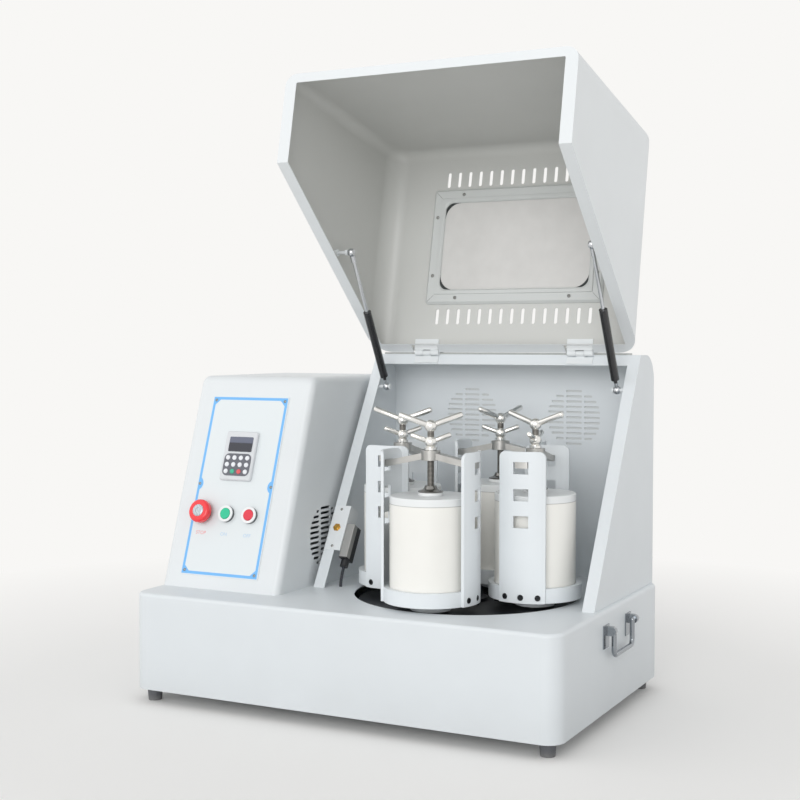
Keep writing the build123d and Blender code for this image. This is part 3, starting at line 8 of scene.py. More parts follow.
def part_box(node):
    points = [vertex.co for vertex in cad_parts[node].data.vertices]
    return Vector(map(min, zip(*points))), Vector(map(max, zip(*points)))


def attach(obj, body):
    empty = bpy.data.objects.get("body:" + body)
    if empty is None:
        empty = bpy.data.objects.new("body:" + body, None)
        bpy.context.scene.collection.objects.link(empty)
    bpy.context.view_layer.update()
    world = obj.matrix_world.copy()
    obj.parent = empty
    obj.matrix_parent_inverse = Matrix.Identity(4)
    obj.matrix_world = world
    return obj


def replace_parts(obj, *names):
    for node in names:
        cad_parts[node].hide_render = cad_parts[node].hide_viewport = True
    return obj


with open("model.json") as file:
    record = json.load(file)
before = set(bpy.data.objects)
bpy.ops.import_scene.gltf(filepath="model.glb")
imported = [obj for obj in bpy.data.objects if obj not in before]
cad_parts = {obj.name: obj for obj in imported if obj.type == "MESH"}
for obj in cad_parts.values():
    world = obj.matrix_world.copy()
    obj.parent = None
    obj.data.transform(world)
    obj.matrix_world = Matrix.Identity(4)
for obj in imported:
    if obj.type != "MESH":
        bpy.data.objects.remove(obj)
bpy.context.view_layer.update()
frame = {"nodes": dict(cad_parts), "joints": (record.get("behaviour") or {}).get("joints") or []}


# ---- cabinet ---------------------------------------------------------------------------------------------------
# The cabinet is one folded sheet-steel cover, deck and four sides, powder-coated in a cool grey-white.
# A flat floor plate closes it from below; both are sprayed together, so they share one fine, even skin.

def tint(r, g, b):
    """A colour from the usual 0 to 255 values."""
    def linear(v):
        v /= 255
        return v / 12.92 if v <= 0.04045 else ((v + 0.055) / 1.055) ** 2.4
    return (linear(r), linear(g), linear(b), 1.0)


class Wire:
    """One output in a finish. Arithmetic on it adds Math nodes."""

    def __init__(self, finish, socket):
        self.finish, self.socket = finish, socket

    def math(self, operation, *numbers):
        return self.finish.node("ShaderNodeMath", {"operation": operation}, numbers)

    def __add__(self, other): return self.math("ADD", self, other)
    def __radd__(self, other): return self.math("ADD", other, self)
    def __sub__(self, other): return self.math("SUBTRACT", self, other)
    def __rsub__(self, other): return self.math("SUBTRACT", other, self)
    def __mul__(self, other): return self.math("MULTIPLY", self, other)
    def __rmul__(self, other): return self.math("MULTIPLY", other, self)
    def __truediv__(self, other): return self.math("DIVIDE", self, other)
    def __rtruediv__(self, other): return self.math("DIVIDE", other, self)
    def __abs__(self): return self.math("ABSOLUTE", self)

    def root(self): return self.math("SQRT", self)
    def wave(self): return self.math("SINE", self)
    def least(self, other): return self.math("MINIMUM", self, other)
    def most(self, other): return self.math("MAXIMUM", self, other)

    def over(self, edge, soft=0.1):
        """0 below an edge and 1 above it, blurred over a small width."""
        return self.finish.node("ShaderNodeMath", {"operation": "MULTIPLY_ADD", "use_clamp": True},
                                (self, 1 / soft, 0.5 - edge / soft))


class Finish:
    """A surface finish: a material with one Principled shader, built node by node."""

    def __init__(self, name, roughness=0.5, metallic=0.0, **fixed):
        self.material = bpy.data.materials.new(name)
        self.material.use_nodes = True
        self.tree = self.material.node_tree
        self.shader = self.tree.nodes["Principled BSDF"]
        self.shader.inputs["Roughness"].default_value = roughness
        self.shader.inputs["Metallic"].default_value = metallic
        for key, value in fixed.items():
            self.shader.inputs[key.replace("_", " ").title().replace("Ior", "IOR")].default_value = value

    def node(self, kind, settings=None, inputs=(), output=0):
        """Adds a node: its settings first, then the values or links of its sockets."""
        made = self.tree.nodes.new(kind)
        for key, value in (settings or {}).items():
            if key == "stops":
                ramp = made.color_ramp.elements
                for _ in range(len(value) - 2):
                    ramp.new(0.5)
                for stop, (place, colour) in zip(ramp, value):
                    stop.position, stop.color = place, colour
            else:
                setattr(made, key, value)
        pairs = inputs.items() if isinstance(inputs, dict) else enumerate(inputs)
        for key, value in pairs:
            if isinstance(value, Wire):
                self.tree.links.new(value.socket, made.inputs[key])
            else:
                made.inputs[key].default_value = value
        return Wire(self, made.outputs[output])

    def set(self, **sockets):
        """Sets or links the shader's own sockets."""
        for key, value in sockets.items():
            key = key.replace("_", " ").title()
            if isinstance(value, Wire):
                self.tree.links.new(value.socket, self.shader.inputs[key])
            else:
                self.shader.inputs[key].default_value = value
        return self.material

    def place(self):
        """Where a point is on the resting machine, in millimetres."""
        spot = self.node("ShaderNodeTexCoord", output="Object")
        return [self.node("ShaderNodeSeparateXYZ", None, (spot,), axis) * 1000 for axis in "XYZ"]

    def grain(self, scale, detail=2.0, stretch=(1, 1, 1), rough=0.5):
        """Noise from 0 to 1; scale is in grains per metre."""
        spot = self.node("ShaderNodeTexCoord", output="Object")
        spot = self.node("ShaderNodeVectorMath", {"operation": "MULTIPLY"}, (spot, stretch))
        return self.node("ShaderNodeTexNoise", {"noise_dimensions": "3D"},
                         {"Vector": spot, "Scale": scale, "Detail": detail, "Roughness": rough})

    def mix(self, factor, first, second):
        """Colour first where the factor is 0, second where it is 1."""
        return self.node("ShaderNodeMix", {"data_type": "RGBA"}, {0: factor, 6: first, 7: second}, 2)

    def relief(self, height, depth):
        """A bump of that depth in millimetres."""
        return self.node("ShaderNodeBump", None, {"Strength": 1.0, "Distance": depth / 1000, "Height": height},
                         "Normal")


def powder_coat(name, colour, soil=0.5, peel=0.035, gloss=0.36):
    """Sprayed and baked coat: fine orange peel, faint cloudiness, and a little soil low on the machine."""
    coat = Finish(name, coat_weight=0.12, coat_roughness=0.25)
    cloud = coat.grain(9, 3.0)
    fine = coat.grain(900, 1.0)
    x, y, z = coat.place()
    low = 1 - (z - 20).over(35, 90)
    dull = tuple(c * 0.90 for c in colour[:3]) + (1,)
    shade = coat.mix(cloud.over(0.52, 0.5) * 0.35, colour, dull)
    shade = coat.mix(low * cloud * 0.28 * soil, shade, tint(150, 148, 142))
    return coat.set(base_color=shade, roughness=gloss + cloud * 0.08 + fine * 0.05,
                    normal=coat.relief(coat.grain(520, 2.0), peel))


def dress(material, *nodes):
    """Gives the material to CAD pieces."""
    for name in nodes:
        for held in frame["nodes"][name].material_slots:
            held.material = material


cabinet_coat = powder_coat("cabinet_coat", tint(226, 231, 234))
dress(cabinet_coat, "base_housing", "base_plate")


# ---- feet ------------------------------------------------------------------------------------------------------
# Four moulded rubber feet, dark grey and matt, with a little floor dust near the ground.
# Each is screwed up into the floor plate.
rubber = Finish("foot_rubber", 0.62, coat_weight=0.15)
x, y, z = rubber.place()
dust = (1 - z.over(6, 8)) * rubber.grain(260, 3.0)
rubber.set(base_color=rubber.mix(dust * 0.6, tint(92, 94, 98), tint(150, 148, 144)),
           normal=rubber.relief(rubber.grain(1400, 2.0), 0.06))
dress(rubber.material, "rubber_feet")


class Form:
    """A mesh in the making. Its shapes are given in millimetres, from the place that it stands at."""

    def __init__(self, place=Matrix()):
        self.mesh, self.place = bmesh.new(), place

    def at(self, place):
        self.place = place
        return self

    def spot(self, x, y, z):
        return self.mesh.verts.new(self.place @ (Vector((x, y, z)) / 1000))

    def turned(self, profile, sides=36):
        """Spins points of radius and height round the place's Z axis."""
        rings = []
        for r, h in profile:
            turns = range(sides) if r > 0 else range(1)
            rings.append([self.spot(r * cos(2 * pi * i / sides), r * sin(2 * pi * i / sides), h) for i in turns])
        for low, high in zip(rings, rings[1:]):
            for i in range(sides):
                corners = [low[i % len(low)], low[(i + 1) % sides % len(low)],
                           high[(i + 1) % sides % len(high)], high[i % len(high)]]
                self.mesh.faces.new(list(dict.fromkeys(corners)))
        return self

    def slab(self, outline, low, high):
        """A plate with this outline, between two heights."""
        bottom = [self.spot(x, y, low) for x, y in outline]
        top = [self.spot(x, y, high) for x, y in outline]
        self.mesh.faces.new(bottom[::-1])
        self.mesh.faces.new(top)
        for i in range(len(outline)):
            j = (i + 1) % len(outline)
            self.mesh.faces.new((bottom[i], bottom[j], top[j], top[i]))
        return self

    def piece(self, name, body, slot, material, bevel=0.0, sharp=35):
        """Ends the mesh as a named piece that rides on a body."""
        bmesh.ops.recalc_face_normals(self.mesh, faces=self.mesh.faces)
        mesh = bpy.data.meshes.new(name)
        self.mesh.to_mesh(mesh)
        mesh.materials.append(material)
        mesh.shade_smooth()
        mesh.set_sharp_from_angle(angle=radians(sharp))
        made = bpy.data.objects.new(name, mesh)
        bpy.context.collection.objects.link(made)
        if bevel:
            edges = made.modifiers.new("edges", "BEVEL")
            edges.width, edges.segments, edges.limit_method = bevel / 1000, 2, "ANGLE"
        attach(made, body)
        return made


def shift(x, y, z):
    """A place that far away, in millimetres."""
    return Matrix.Translation(Vector((x, y, z)) / 1000)


def turn(angle, axis):
    return Matrix.Rotation(radians(angle), 4, axis)


def round_box(w, h, r, steps=5):
    """Outline of a rectangle with round corners."""
    points = []
    for quarter, (sx, sy) in enumerate(((1, 1), (-1, 1), (-1, -1), (1, -1))):
        for i in range(steps + 1):
            a = radians(90 * (quarter + i / steps))
            points.append((sx * (w / 2 - r) + r * cos(a), sy * (h / 2 - r) + r * sin(a)))
    return points


# ---- drive under the deck --------------------------------------------------------------------------------------
# Turned aluminium pulleys, steel shafts, black belts and a grey ribbed motor, all bolted to the floor plate.
# They are seen only through the gap round the turntable.

def turned_metal(name, colour, roughness=0.3, lines=2600, centre=None):
    """Lathe-turned metal: fine rings of tool marks."""
    metal = Finish(name, roughness, 1.0)
    marks = metal.grain(lines, 2.0, (0.03, 0.03, 1.0))
    cloud = metal.grain(30, 2.0)
    dark = tuple(c * 0.8 for c in colour[:3]) + (1,)
    return metal.set(base_color=metal.mix(cloud * 0.5, colour, dark), roughness=roughness + (marks - 0.5) * 0.2,
                     normal=metal.relief(marks, 0.012))


pulley_alloy = turned_metal("pulley_alloy", tint(196, 198, 202), 0.34)
shaft_steel = turned_metal("shaft_steel", tint(176, 178, 182), 0.26)
dress(pulley_alloy, "bearing_pedestal", "planet_bearings", "motor_pulley")
dress(shaft_steel, "main_shaft")

belt_rubber = Finish("belt_rubber", 0.7)
belt_rubber.set(base_color=belt_rubber.mix(belt_rubber.grain(400, 3.0), tint(28, 28, 30), tint(52, 52, 54)),
                normal=belt_rubber.relief(belt_rubber.grain(1800, 2.0), 0.08))
dress(belt_rubber.material, "drive_belt", "planet_belts")

motor_coat = powder_coat("motor_coat", tint(118, 124, 130), 0.2, 0.05, 0.42)
dress(motor_coat, "drive_motor")


# ---- turntable -------------------------------------------------------------------------------------------------
# A machined disc, blackened and oiled, in the round opening of the deck.
# Its face keeps fine rings from the lathe, with paler rubbed patches.
table_low, table_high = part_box("turntable_disc")
table_x, table_y = (table_low[0] + table_high[0]) * 500, (table_low[1] + table_high[1]) * 500
table = Finish("blackened_disc", 0.42, 0.35)
x, y, z = table.place()
rings = (((x - table_x) * (x - table_x) + (y - table_y) * (y - table_y)).root() * 4).wave()
rub = table.grain(34, 4.0)
table.set(base_color=table.mix(rub.over(0.55, 0.3) * 0.5, tint(40, 43, 47), tint(66, 69, 73)),
          roughness=0.36 + rub * 0.16, normal=table.relief(rings, 0.008))
dress(table.material, "turntable_disc")

black_oxide = Finish("black_screws", 0.36, 0.6)
black_oxide.set(base_color=black_oxide.mix(black_oxide.grain(500, 2.0), tint(24, 25, 27), tint(50, 52, 55)),
                roughness=0.3 + black_oxide.grain(260, 2.0) * 0.16)
bolts = Form()
table_face = frame["joints"][0]["pos_m"][2] * 1000
for i in range(6):
    bolts.at(shift(table_x, table_y, table_face) @ turn(60 * i + 12, "Z") @ shift(50, 0, 0))
    bolts.turned([(0, 2.2), (2.6, 2.2), (2.6, 4.4), (4.0, 4.6), (4.4, 4.2), (4.4, 0.05), (0, 0.05)], 24)
bolts.piece("turntable_bolts", "turntable", "table_black", black_oxide.material)


# ---- milling chamber -------------------------------------------------------------------------------------------
# Two side walls with folded front flanges, and a back panel that rolls over the top and down into the front rail.
# Powder-coated like the cabinet and riveted together. Pale felt mats lie behind the round vents, and a pale
# rubber seal runs along the top rail.
chamber_coat = powder_coat("chamber_coat", tint(222, 227, 230), 0.0)
dress(chamber_coat, "chamber_left_wall", "chamber_right_wall", "chamber_back_panel")

galvanised = Finish("galvanised_collar", 0.4, 1.0)
spangle = galvanised.node("ShaderNodeTexVoronoi", {"feature": "F1"},
                          {"Vector": galvanised.node("ShaderNodeTexCoord", output="Object"), "Scale": 110.0}, "Color")
spangle = galvanised.node("ShaderNodeSeparateColor", None, (spangle,), 0)
galvanised.set(base_color=galvanised.mix(spangle, tint(168, 174, 180), tint(206, 210, 214)),
               roughness=0.32 + spangle * 0.2)
dress(galvanised.material, "duct_collar")

back_low, back_high = [[c * 1000 for c in corner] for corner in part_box("chamber_back_panel")]
chamber_mid, chamber_top, chamber_rear = (back_low[0] + back_high[0]) / 2, back_high[2], back_high[1]
felt = Finish("filter_felt", 0.95)
fibre = felt.grain(900, 4.0, (1, 1, 3))
felt.set(base_color=felt.mix(fibre.over(0.5, 0.4), tint(200, 203, 203), tint(216, 219, 219)),
         normal=felt.relief(fibre, 0.25))
mats = Form()
for side in (-1, 1):
    mats.at(shift(chamber_mid + 7 + side * 98, chamber_rear + 0.1, chamber_top - 111) @ turn(-90, "X"))
    mats.turned([(0, 0), (56, 0), (57, 0.8), (57, 2.6), (56, 3.4), (30, 3.9), (0, 4.1)], 64)
mats.piece("vent_filter_mats", "cabinet", "white_enamel", felt.material)

seal_rubber = Finish("seal_rubber", 0.6)
seal_rubber.set(base_color=seal_rubber.mix(seal_rubber.grain(300, 2.0), tint(176, 178, 176), tint(198, 200, 198)),
                normal=seal_rubber.relief(seal_rubber.grain(1500, 2.0), 0.05))
hinge = next(j for j in frame["joints"] if j["name"] == "lid_hinge")
pin_x, pin_y, pin_z = [c * 1000 for c in hinge["pos_m"]]
lip = [(5.0, 0.05), (5.0, 2.6), (5.8, 3.4), (7.2, 3.4), (8.0, 2.6), (8.0, 0.05)]
seal = Form(shift(back_low[0] + 14, pin_y, chamber_top) @ turn(90, "Z") @ turn(90, "X"))
seal.slab(lip, 0, back_high[0] - back_low[0] - 28)
for side in (-1, 1):
    seal.at(shift(pin_x + side * 144 - 28, pin_y + 1, chamber_top) @ turn(90, "Z") @ turn(90, "X"))
    seal.slab([(5.0, 0.05), (5.0, 12.0), (7.6, 12.0), (7.6, 0.05)], 0, 56)
seal.piece("lid_seal", "cabinet", "lead_black", seal_rubber.material, 0.4)


# ---- hinges ----------------------------------------------------------------------------------------------------
# Two wide strap hinges between the rail and the lid, sprayed together with them.
# The pins are drawn steel, but here they take the same coat as the straps.
hinge_coat = powder_coat("hinge_coat", tint(228, 232, 234), 0.0, 0.03, 0.33)
dress(hinge_coat, "frame_hinges_and_studs", "lid_hinges_and_studs")


# ---- lid -------------------------------------------------------------------------------------------------------
# One folded shell with large soft folds, slotted above and below its window, with a greyer coat inside: painted shade
# for the lid's shaded hollow.
# A mitred frame holds the grey pane from inside with eight screws; dark pieces fill the pane's corners between the
# frame and the opening.
OPEN = -102.0
lid_spray = Finish("lid_coat_painted_shade", coat_weight=0.12, coat_roughness=0.25)
x, y, z = lid_spray.place()
back, up = y - pin_y, z - pin_z
shut_y = back * cos(radians(-OPEN)) - up * sin(radians(-OPEN))
shut_z = back * sin(radians(-OPEN)) + up * cos(radians(-OPEN))
from_slope = (shut_z + 2.37) * sin(radians(30.29)) - (shut_y + 1.15) * cos(radians(30.29))
from_side, from_top = abs(x - pin_x) * -1 + 212.54, shut_z * -1 - 38.37
fold_side, fold_top = (0 - from_side).most(0), (0 - from_top).most(0)
from_long_fold = 36 - (fold_side * fold_side + fold_top * fold_top).root()
fold_round, fold_front = (20 - from_long_fold).most(0), (20 - (shut_y + 376.96)).most(0)
depth = 20 - (fold_round * fold_round + fold_front * fold_front).root()
inside = depth.over(1.0, 0.5) * shut_z.over(-391.4, 0.5) * from_slope.over(1.0, 0.5)
cloud = lid_spray.grain(9, 3.0)
# Inside the lid the coat is written greyer: painted shade for the shaded hollow under the lid.
inside_painted_shade = tint(204, 205, 202)
outer = lid_spray.mix(cloud * 0.3, tint(226, 230, 232), tint(206, 209, 210))
lid_spray.set(base_color=lid_spray.mix(inside, outer, lid_spray.mix(cloud * 0.25, inside_painted_shade, tint(188, 189, 186))),
              roughness=0.36 + cloud * 0.08, normal=lid_spray.relief(lid_spray.grain(520, 2.0), 0.035))
dress(lid_spray.material, "lid_shell")
# The window frame and its bead are coated greyer than the lid's outside: painted shade, as they sit in the lid's
# shaded hollow.
lid_coat_painted_shade = powder_coat("frame_coat_painted_shade", tint(206, 209, 208), 0.0)
dress(lid_coat_painted_shade, "window_frame")

pane = Finish("smoked_pane", 0.16, coat_weight=0.2)
haze = pane.grain(40, 2.0)
pane.set(base_color=pane.mix(haze, tint(218, 217, 215), tint(226, 225, 223)), alpha=0.84 + haze * 0.03,
         roughness=0.14 + haze * 0.05)
dress(pane.material, "window_pane")

FRAME_FACE = 10.37          # frame's face below the hinge pin, lid shut
window_at = (shift(pin_x + 12, pin_y, pin_z) @ turn(OPEN, "X") @ shift(0, -193.15, -FRAME_FACE)
             @ turn(180, "X"))
bead = Form(window_at)
rings = [[bead.spot(x, y, h) for x, y in round_box(w, d, r)]
         for w, d, r, h in ((298, 178, 3, 0.03), (296, 176, 3, 2.0), (285, 165, 12, 2.3), (280.6, 160.6, 14.9, 0.03))]
for low_ring, high_ring in zip(rings, rings[1:] + rings[:1]):
    for i in range(len(low_ring)):
        j = (i + 1) % len(low_ring)
        bead.mesh.faces.new((low_ring[i], low_ring[j], high_ring[j], high_ring[i]))
bead.piece("window_bead", "lid", "white_enamel", lid_coat_painted_shade, 0.3)

joint_shade = Finish("mitre_shade", 0.8)
joint_shade.set(base_color=joint_shade.mix(joint_shade.grain(300, 2.0), tint(112, 114, 114), tint(140, 142, 142)))
mitres = Form()
for sx in (-1, 1):
    for sy in (-1, 1):
        mitres.at(window_at @ shift(sx * 155.5, sy * 95.5, 0) @ turn(45 * sx * sy, "Z"))
        mitres.slab([(-8.4, -0.3), (8.4, -0.3), (8.4, 0.3), (-8.4, 0.3)], 0.02, 0.1)
mitres.piece("frame_mitres", "lid", "white_enamel", joint_shade.material)

# Dark pieces in the pane's corners, between the frame's square corners and the rounded opening.
dark_corner_finish = Finish("pane_dark_corner", 0.7)
dark_corner_finish.set(base_color=dark_corner_finish.mix(dark_corner_finish.grain(400, 2.0), tint(34, 38, 38), tint(64, 68, 68)))
corners = Form()
for sx in (-1, 1):
    for sy in (-1, 1):
        arc = [(sx * (112 + 28 * cos(radians(a))), sy * (52 + 28 * sin(radians(a)))) for a in range(0, 91, 9)]
        square = [(sx * 112, sy * 82), (sx * 142, sy * 82)]
        corners.at(window_at).slab([(sx * 142, sy * 52)] + arc + square, -1.9, -1.5)
corners.piece("pane_dark_corners", "lid", "lead_black", dark_corner_finish.material)

screw_steel = Finish("screw_steel", 0.3, 1.0)
screw_steel.set(base_color=screw_steel.mix(screw_steel.grain(700, 2.0), tint(132, 132, 130), tint(176, 176, 173)),
                roughness=0.24 + screw_steel.grain(400, 2.0) * 0.14)
pan_head = [(0, 1.0), (1.1, 1.0), (1.3, 1.9), (2.2, 1.6), (3.0, 0.7), (3.1, 0.05), (0, 0.05)]
screws = Form()
for x, y in ((-107, 95), (107, 95), (-107, -95), (107, -95), (-155, 54), (-155, -54), (155, 54), (155, -54)):
    screws.at(window_at @ shift(x, y, 0)).turned(pan_head, 20)
screws.piece("window_frame_screws", "lid", "stainless", screw_steel.material)


# ---- gas struts ------------------------------------------------------------------------------------------------
# Black enamelled tubes with plated end eyes, and ground, chromed rods. Each strut hangs between two studs.
# The lower eye turns on a shouldered stud in the wall.
lid_pin = next(j for j in frame["joints"] if j["name"] == "strut_pivot")
low_y, low_z = lid_pin["pos_m"][1] * 1000, lid_pin["pos_m"][2] * 1000
slide = next(j for j in frame["joints"] if j["name"] == "strut_slide")["axis"]
tube = Finish("strut_tube", 0.2, coat_weight=0.5)
x, y, z = tube.place()
along = (y - low_y) * slide[1] + (z - low_z) * slide[2]
black = along.over(14.5, 0.5)
tube.set(base_color=tube.mix(black, tint(205, 208, 212), tint(26, 26, 29)), metallic=1 - black,
         roughness=0.2 + tube.grain(300, 2.0) * 0.1)
dress(tube.material, "strut_cylinders")


def chromed(name, colour=tint(214, 217, 221), roughness=0.11):
    """Polished and plated steel, with faint hazing."""
    plate = Finish(name, roughness, 1.0)
    haze = plate.grain(60, 3.0)
    return plate.set(base_color=plate.mix(haze * 0.6, colour, tuple(c * 0.82 for c in colour[:3]) + (1,)),
                     roughness=roughness + haze * 0.08, normal=plate.relief(plate.grain(700, 2.0), 0.004))


rod_chrome = chromed("rod_chrome")
dress(rod_chrome, "strut_rods")


# ---- control enclosure -----------------------------------------------------------------------------------------
# A folded steel cover with a sloping face and a round vent in its side, sprayed like the cabinet.
# A screwed, printed plate with a blue border carries a keypad with a dark display and small keys.
LEAN = 19.2
PANEL_X, PANEL_UP, PANEL_W, PANEL_H = 112.8, 179.8, 154.0, 315.5
cover_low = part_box("control_cover")[0]
dress(powder_coat("cover_coat", tint(224, 228, 230), 0.3), "control_cover")
face = Matrix.Translation(cover_low) @ turn(90 - LEAN, "X")
foot = face.translation * 1000
print_plate = Finish("printed_plate", 0.32, coat_weight=0.25)
x, y, z = print_plate.place()
across = abs(x - (foot.x + PANEL_X))
up = (y - foot.y) * sin(radians(LEAN)) + (z - foot.z) * cos(radians(LEAN)) - PANEL_UP
in_x, in_y = PANEL_W / 2 - across, PANEL_H / 2 - abs(up)
line = 1 - (in_x.least(in_y) - 2.0).over(4.3, 0.5)
edge = in_x.least(in_y).over(1.4, 0.4)
corner = 1 - (in_x + in_y).over(22, 0.6)
notch = 1 - (in_x * in_x + up * up).root().over(12.0, 0.6)
blue = line.most(corner).most(notch) * edge
print_plate.set(base_color=print_plate.mix(blue, tint(222, 228, 230), tint(112, 182, 240)),
                roughness=0.3 + print_plate.grain(50, 2.0) * 0.08)
dress(print_plate.material, "control_panel")

panel_screws = Form()
for x, y in ((-70, 150.5), (70, 150.5), (-70, -150.5), (70, -150.5), (-72, 0), (72, 0)):
    panel_screws.at(face @ shift(PANEL_X + x, PANEL_UP + y, 1.5))
    panel_screws.turned([(r * 0.85, h * 0.8) for r, h in pan_head], 20)
panel_screws.piece("panel_screws", "cabinet", "stainless", screw_steel.material)

shell_plastic = Finish("keypad_shell", 0.38)
shell_plastic.set(base_color=shell_plastic.mix(shell_plastic.grain(80, 2.0) * 0.4, tint(216, 219, 222),
                                               tint(200, 203, 206)),
                  normal=shell_plastic.relief(shell_plastic.grain(1500, 1.0), 0.02))
dress(shell_plastic.material, "drive_keypad")

keypad_at = face @ shift(PANEL_X, 230.5, 7.5)
display = Finish("display_glass", 0.12, coat_weight=0.5)
x, y, z = display.place()
low_half = 1 - ((z - foot.z) / cos(radians(LEAN))).over(256, 2.0)
display.set(base_color=display.mix(low_half, tint(92, 98, 118), tint(34, 37, 50)),
            roughness=0.1 + display.grain(200, 2.0) * 0.08)
Form(keypad_at @ shift(1, 20, 0)).slab(round_box(47, 26, 2.0), 0.05, 1.0).piece(
    "keypad_display", "cabinet", "keypad_grey", display.material, 0.3)
key_bed = Finish("key_bed", 0.5)
key_bed.set(base_color=key_bed.mix(key_bed.grain(260, 2.0), tint(88, 90, 98), tint(112, 114, 122)),
            normal=key_bed.relief(key_bed.grain(900, 2.0), 0.05))
Form(keypad_at @ shift(0, -16, 0)).slab(round_box(54, 39, 9.0), 0.05, 0.7).piece(
    "keypad_bed", "cabinet", "keypad_grey", key_bed.material, 0.3)


def key_cap(name, colour):
    """Moulded key, a little rubbed."""
    cap = Finish(name, 0.4)
    return cap.set(base_color=cap.mix(cap.grain(240, 2.0) * 0.5, colour, tuple(c * 0.85 for c in colour[:3]) + (1,)))


keys = {"pale": Form(), "green": Form(), "red": Form()}
for row in range(3):
    for column in range(4):
        kind = {(2, 1): "green", (2, 2): "red"}.get((row, column), "pale")
        keys[kind].at(keypad_at @ shift(-19.5 + 13 * column, -4 - 12 * row, 0.7))
        keys[kind].turned([(0, 1.6), (2.8, 1.5), (3.8, 1.1), (4.2, 0.0), (0, 0.0)], 20)
keys["pale"].piece("keypad_keys_pale", "cabinet", "keypad_grey", key_cap("key_pale", tint(236, 238, 242)))
keys["green"].piece("keypad_key_green", "cabinet", "start_green", key_cap("key_green", tint(70, 186, 150)))
keys["red"].piece("keypad_key_red", "cabinet", "stop_red", key_cap("key_red", tint(226, 92, 96)))


# ---- buttons ---------------------------------------------------------------------------------------------------
# Glossy moulded caps in white rings: a red mushroom with a plated centre, a green start cap and a red stop cap.
# Their words are printed on the plate below them.

def glossy_cap(name, colour):
    """Moulded coloured plastic with a deep shine."""
    cap = Finish(name, 0.22, coat_weight=0.4, coat_roughness=0.1)
    return cap.set(base_color=cap.mix(cap.grain(120, 2.0) * 0.4, colour, tuple(c * 0.84 for c in colour[:3]) + (1,)),
                   roughness=0.2 + cap.grain(300, 2.0) * 0.1)


ring_plastic = Finish("button_rings", 0.36, coat_weight=0.2)
x, y, z = ring_plastic.place()
height = (z - foot.z) * sin(radians(LEAN)) - (y - foot.y) * cos(radians(LEAN))
# Below the white top the ring's side is dark grey and half metallic: a plated band, and painted shade on the collar's
# side.
white_top_over_shaded_side = height.over(6.6, 0.5)
ring_plastic.set(base_color=ring_plastic.mix(white_top_over_shaded_side, tint(96, 98, 100), ring_plastic.mix(
                     ring_plastic.grain(80, 2.0) * 0.4, tint(240, 242, 243), tint(220, 223, 224))),
                 metallic=(1 - white_top_over_shaded_side) * 0.6)
dress(ring_plastic.material, "button_collars")
dress(glossy_cap("stop_mushroom_red", tint(244, 52, 60)), "estop_button")
dress(glossy_cap("start_green", tint(12, 196, 148)), "start_button")
dress(glossy_cap("stop_red", tint(226, 42, 66)), "stop_button")
button_xs = [PANEL_X - 4.8 + 46.5 * i for i in (-1, 0, 1)]
centre_steel = Finish("mushroom_centre", 0.3, 0.7)
x, y, z = centre_steel.place()
spin = ((x - (foot.x + button_xs[0])) * 2).wave()
centre_steel.set(base_color=centre_steel.mix(centre_steel.grain(160, 2.0) * 0.6, tint(200, 210, 216),
                                             tint(158, 168, 176)),
                 roughness=0.26 + spin * 0.04)
Form(face @ shift(button_xs[0], 129, 1.5 + 3 + 6.5 + 11)).turned(
    [(0, 0.5), (4.2, 0.5), (4.6, 1.3), (8.6, 1.3), (9.8, 0.8), (10.4, 0.05), (0, 0.05)], 40).piece(
    "mushroom_centre", "emergency_stop", "chrome", centre_steel.material)


def printed(name, colour):
    """Screen-printed ink."""
    ink = Finish(name, 0.5)
    return ink.set(base_color=ink.mix(ink.grain(700, 2.0) * 0.4, colour, tint(226, 230, 232)))


pale_blue = tint(172, 204, 232)
inks = {"STOP": ("ink_red", tint(232, 120, 122)), "ON": ("ink_on", pale_blue), "OFF": ("ink_off", pale_blue)}
for at_x, (word, (name, colour)) in zip(button_xs, inks.items()):
    letters = bpy.data.curves.new(f"word_{word}", "FONT")
    letters.body, letters.size, letters.align_x, letters.extrude = word, 0.0085, "CENTER", 0.00004
    made = bpy.data.objects.new(f"word_{word}", letters)
    made.matrix_world = face @ shift(at_x, 92, 1.56)
    letters.materials.append(printed(name, colour))
    bpy.context.collection.objects.link(made)
    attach(made, "cabinet")


# ---- carrying handles ------------------------------------------------------------------------------------------
# A chromed bail hangs from two plated lugs on each side of the cabinet and folds out to be gripped.
handle_chrome = chromed("handle_chrome", tint(158, 163, 168), 0.14)
dress(handle_chrome, "handle_lugs", "handle_bail_left", "handle_bail_right")


# ---- lid switch ------------------------------------------------------------------------------------------------
# A white-sprayed bracket on the left flange carries a die-cast switch with a black back and gland.
# Its brass plunger stands through a brass nut, and a short black lead goes down into the deck.
dress(hinge_coat, "switch_bracket")
SLOPE = 30.29
wall_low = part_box("chamber_left_wall")[0]
flange = Matrix.Translation(wall_low) @ turn(90 - SLOPE, "X")
root = flange.translation * 1000
switch_case = Finish("switch_case", 0.34, 0.5)
x, y, z = switch_case.place()
out = (y - root.y) * -cos(radians(SLOPE)) + (z - root.z) * sin(radians(SLOPE))
rise = (y - root.y) * sin(radians(SLOPE)) + (z - root.z) * cos(radians(SLOPE))
cast_face = (out + 12).over(0, 0.5) * rise.over(59, 0.5)
switch_case.set(base_color=switch_case.mix(cast_face, tint(30, 31, 34), tint(168, 168, 166)),
                metallic=cast_face * 0.6,
                normal=switch_case.relief(switch_case.grain(700, 2.0), 0.05))
dress(switch_case.material, "limit_switch")
lead_skin = Finish("lead_skin", 0.55)
lead_skin.set(base_color=lead_skin.mix(lead_skin.grain(300, 2.0), tint(26, 27, 30), tint(52, 56, 66)))
route = [(-0.091766, -0.055613, 0.214048), (-0.091766, -0.066155, 0.196000),
         (-0.091766, -0.066155, 0.182000)]
line = bpy.data.curves.new("switch_lead_line", "CURVE")
